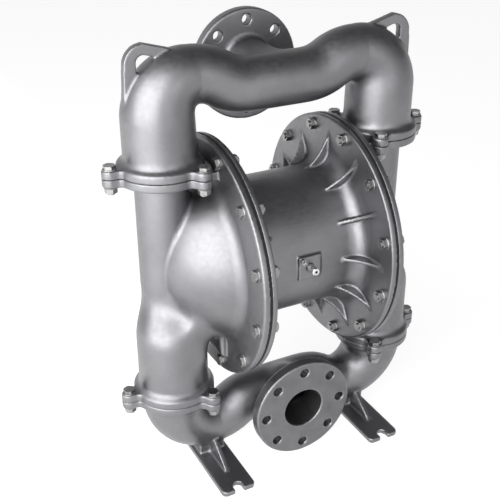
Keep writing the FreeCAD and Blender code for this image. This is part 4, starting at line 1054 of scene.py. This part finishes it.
@dataclass
class Studio:
    """Plain pale floor, soft lamps and the camera at the photograph's angle."""

    floor_span: float = 24.0
    # Painted light on the floor: pale on the key lamp's side and darker to the right, seen in the metal's
    # reflections.
    floor_painted_light: str = "F0F0F0"
    floor_painted_shade: str = "8A8A8A"
    floor_glow: float = 0.87
    floor_cloud_mm: float = 400.0
    floor_ripple: float = 0.1
    floor_palest_x: float = -1.0
    floor_darkest_x: float = 0.2
    air_even_below: float = 0.04
    air_uneven_above: float = 0.16
    air_lit_to: float = 0.2
    air_dim_from: float = 0.95
    air_lit_side: float = 0.88
    air_dim_side: float = 0.1
    air_light: float = 0.55
    camera_place: Place = (-0.6878, -1.2298, 1.1101)
    camera_heading: float = 27.442
    camera_elevation: float = 27.259
    camera_roll: float = -0.103
    focal_pixels: float = 845.01
    image_pixels: float = 500.0
    sensor_mm: float = 36.0

    def build(self) -> None:
        """Builds floor, world, lamps and camera."""
        self.build_floor()
        self.build_world()
        self.build_lamps()
        self.build_camera()
        bpy.context.scene.view_settings.view_transform = "Standard"

    def seen_ray(self, material: bpy.types.ID) -> bpy.types.NodeSocket:
        """One for a ray that shows a surface to the camera, straight or by way of metal or glass.

        Args:
            material: the material or world that the nodes are added to.

        Returns:
            Output that is one for such a ray and zero for one that only lights.
        """
        rays = add_node(material, "ShaderNodeLightPath").outputs
        shown = add_node(material, "ShaderNodeMath", {"operation": "MAXIMUM"},
                         {0: rays["Is Camera Ray"], 1: rays["Is Glossy Ray"]}).outputs["Value"]
        return add_node(material, "ShaderNodeMath", {"operation": "MAXIMUM"},
                        {0: shown, 1: rays["Is Transmission Ray"]}).outputs["Value"]

    def build_floor(self) -> None:
        """Builds the pale floor, which is part of the stage."""
        half = self.floor_span / 2
        mesh = bpy.data.meshes.new("studio_floor")
        corners = [(-half, -half, 0), (half, -half, 0), (half, half, 0), (-half, half, 0)]
        mesh.from_pydata(corners, [], [(0, 1, 2, 3)])
        floor = linked_piece("studio_floor", mesh)
        material = blank_material("studio_floor_paper")
        place = add_node(material, "ShaderNodeTexCoord").outputs["Object"]
        across = add_node(material, "ShaderNodeSeparateXYZ", links={"Vector": place}).outputs["X"]
        grain = noise(material, place, self.floor_cloud_mm, 2.0)
        # The paper is painted palest on the lamp's side and darker away from it: painted light that the
        # columns reflect as their bright left bands.
        uneven = add_node(material, "ShaderNodeMath", {"operation": "MULTIPLY_ADD", 1: self.floor_ripple},
                          {0: grain, 2: across}).outputs["Value"]
        tone = add_node(material, "ShaderNodeMapRange",
                        {"From Min": self.floor_palest_x, "From Max": self.floor_darkest_x},
                        {"Value": uneven}).outputs["Result"]
        colour = ramp(material, tone, [(0.0, srgb(self.floor_painted_light)), (1.0, srgb(self.floor_painted_shade))])
        paper = add_node(material, "ShaderNodeBsdfDiffuse", links={"Color": colour})
        glow = add_node(material, "ShaderNodeMath", {"operation": "MULTIPLY", 1: self.floor_glow},
                        {0: self.seen_ray(material)}).outputs["Value"]
        light = add_node(material, "ShaderNodeEmission", {"Color": (1, 1, 1, 1)}, {"Strength": glow})
        both = add_node(material, "ShaderNodeAddShader",
                        links={0: paper.outputs["BSDF"], 1: light.outputs["Emission"]})
        add_node(material, "ShaderNodeOutputMaterial", links={"Surface": both.outputs["Shader"]})
        mesh.materials.append(material)

    def build_world(self) -> None:
        """Builds the studio's air: white at the horizon, a grey ceiling that is darker to the right."""
        world = bpy.data.worlds.new("studio_air")
        world.use_nodes = True
        world.node_tree.nodes.clear()
        way = add_node(world, "ShaderNodeTexCoord").outputs["Generated"]
        parts = add_node(world, "ShaderNodeSeparateXYZ", links={"Vector": way}).outputs
        height = ramp(world, parts["Z"], [(0.0, srgb(WHITE)), (0.3, srgb("F8F8F8")), (0.5, srgb("F0F0F0")),
                                          (0.75, srgb("8A8A8A")), (1.0, srgb("707070"))])
        side = add_node(world, "ShaderNodeMapRange",
                        {"From Min": self.air_lit_to, "From Max": self.air_dim_from,
                         "To Min": self.air_lit_side, "To Max": self.air_dim_side},
                        {"Value": parts["X"]}).outputs["Result"]
        above = add_node(world, "ShaderNodeMapRange",
                         {"From Min": self.air_even_below, "From Max": self.air_uneven_above},
                         {"Value": parts["Z"]}).outputs["Result"]
        dimmed = add_node(world, "ShaderNodeMix", {"data_type": "FLOAT", 2: 1.0},
                          {0: above, 3: side}).outputs[0]
        colour = add_node(world, "ShaderNodeMix", {"data_type": "RGBA", "blend_type": "MULTIPLY", 0: 1.0},
                          {6: height, 7: dimmed}).outputs[2]
        strength = add_node(world, "ShaderNodeMapRange", {"To Min": self.air_light, "To Max": 1.0},
                            {"Value": self.seen_ray(world)})
        air = add_node(world, "ShaderNodeBackground",
                       links={"Color": colour, "Strength": strength.outputs["Result"]})
        add_node(world, "ShaderNodeOutputWorld", links={"Surface": air.outputs["Background"]})
        bpy.context.scene.world = world

    def build_lamps(self) -> None:
        """Builds the soft lamps: a large key on the left and a weak fill in front."""
        target = Vector((0.0, 0.0, AXIS_MM * MM))
        # Name, place and size in metres, and power in watts.
        lamps = (("key_left", (-2.4, -1.4, 1.6), 4.2, 240.0), ("fill_front", (0.3, -2.6, 1.3), 1.6, 10.0))
        for name, place, size, power in lamps:
            data = bpy.data.lights.new(name, "AREA")
            data.size = size
            data.energy = power
            lamp = bpy.data.objects.new(name, data)
            lamp.location = place
            lamp.rotation_euler = (target - Vector(place)).to_track_quat("-Z", "Y").to_euler()
            bpy.context.collection.objects.link(lamp)

    def build_camera(self) -> None:
        """Builds the camera from the photograph's measured place, direction and focal length."""
        data = bpy.data.cameras.new("photo_camera")
        data.sensor_width = self.sensor_mm
        data.lens = self.focal_pixels / self.image_pixels * self.sensor_mm
        camera = bpy.data.objects.new("photo_camera", data)
        heading, elevation = math.radians(self.camera_heading), math.radians(self.camera_elevation)
        forward = Vector((math.sin(heading) * math.cos(elevation), math.cos(heading) * math.cos(elevation),
                          -math.sin(elevation)))
        right = Vector((math.cos(heading), -math.sin(heading), 0.0))
        up = right.cross(forward)
        roll = math.radians(self.camera_roll)
        level_right = right * math.cos(roll) + up * math.sin(roll)
        level_up = up * math.cos(roll) - right * math.sin(roll)
        turn = Matrix((level_right, level_up, -forward)).transposed()
        camera.matrix_world = Matrix.Translation(self.camera_place) @ turn.to_4x4()
        bpy.context.collection.objects.link(camera)
        bpy.context.scene.camera = camera


def main() -> None:
    """Builds the scene in order and reports each step."""
    logging.basicConfig(level=logging.INFO, format="%(name)s %(relativeCreated)d ms: %(message)s")
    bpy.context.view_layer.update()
    finishes = {
        # Blasted castings scatter what they reflect, so the pump reads as soft grey metal.
        "casting": CastFinish().build(),
        # Rubber drinks the light: the diaphragm's rim is a black line, the balls a shade paler.
        "diaphragm_rubber": MouldedFinish("nitrile_rubber_moulded", "09090A", "050506", 0.8).build(),
        "ball_rubber": MouldedFinish("solid_rubber_moulded", "242426", "19191B").build(),
        # Zinc is a soft grey, turned and ground steel brighter, and tool lines streak them all.
        "plated_steel": MetalFinish("steel_zinc_plated", "A0A09F", "868686", 0.26, 0.38).build(),
        "ground_steel": MetalFinish("steel_turned_and_ground", "C9C9CA", "AFAFB1").build(),
        "plate_metal": MetalFinish("steel_turned_plate", "A6A6A8", "8C8C8E").build(),
        "seat_steel": MetalFinish("stainless_steel_turned", "BDBDBD", "A3A3A3").build(),
        # Turned bronze keeps its yellow-brown, which tells the bushes from the rod.
        "bush_bronze": MetalFinish("bronze_turned", "B98A4A", "9C7238").build(),
        # Sintered plastic is dull and grainy from its pores.
        "muffler_plastic": MouldedFinish("polyethylene_sintered", "232325", "19191B").build(),
        # Bright plating is nearly a mirror, so the nipple glints.
        "bright_steel": MetalFinish("steel_bright_plated", "DCDCDC", "C4C4C4", 0.12, 0.2).build(),
    }
    faced = FacedFinish().build()
    slot_of = {entry["node"]: entry["material_slot"] for entry in frame["record"]["subparts"]}
    for name, node in frame["nodes"].items():
        node.data.materials.clear()
        node.data.materials.append(finishes[slot_of[name]])
        LOG.info("%s wears %s", name, finishes[slot_of[name]].name)
    Castings(finishes["casting"], faced).build()
    Fasteners(finishes["plated_steel"]).build()
    AirValve(finishes["casting"], faced).build()
    for side in ("left", "right"):
        Diaphragm(side).build()
    Studio().build()


if __name__ == "__main__":
    main()
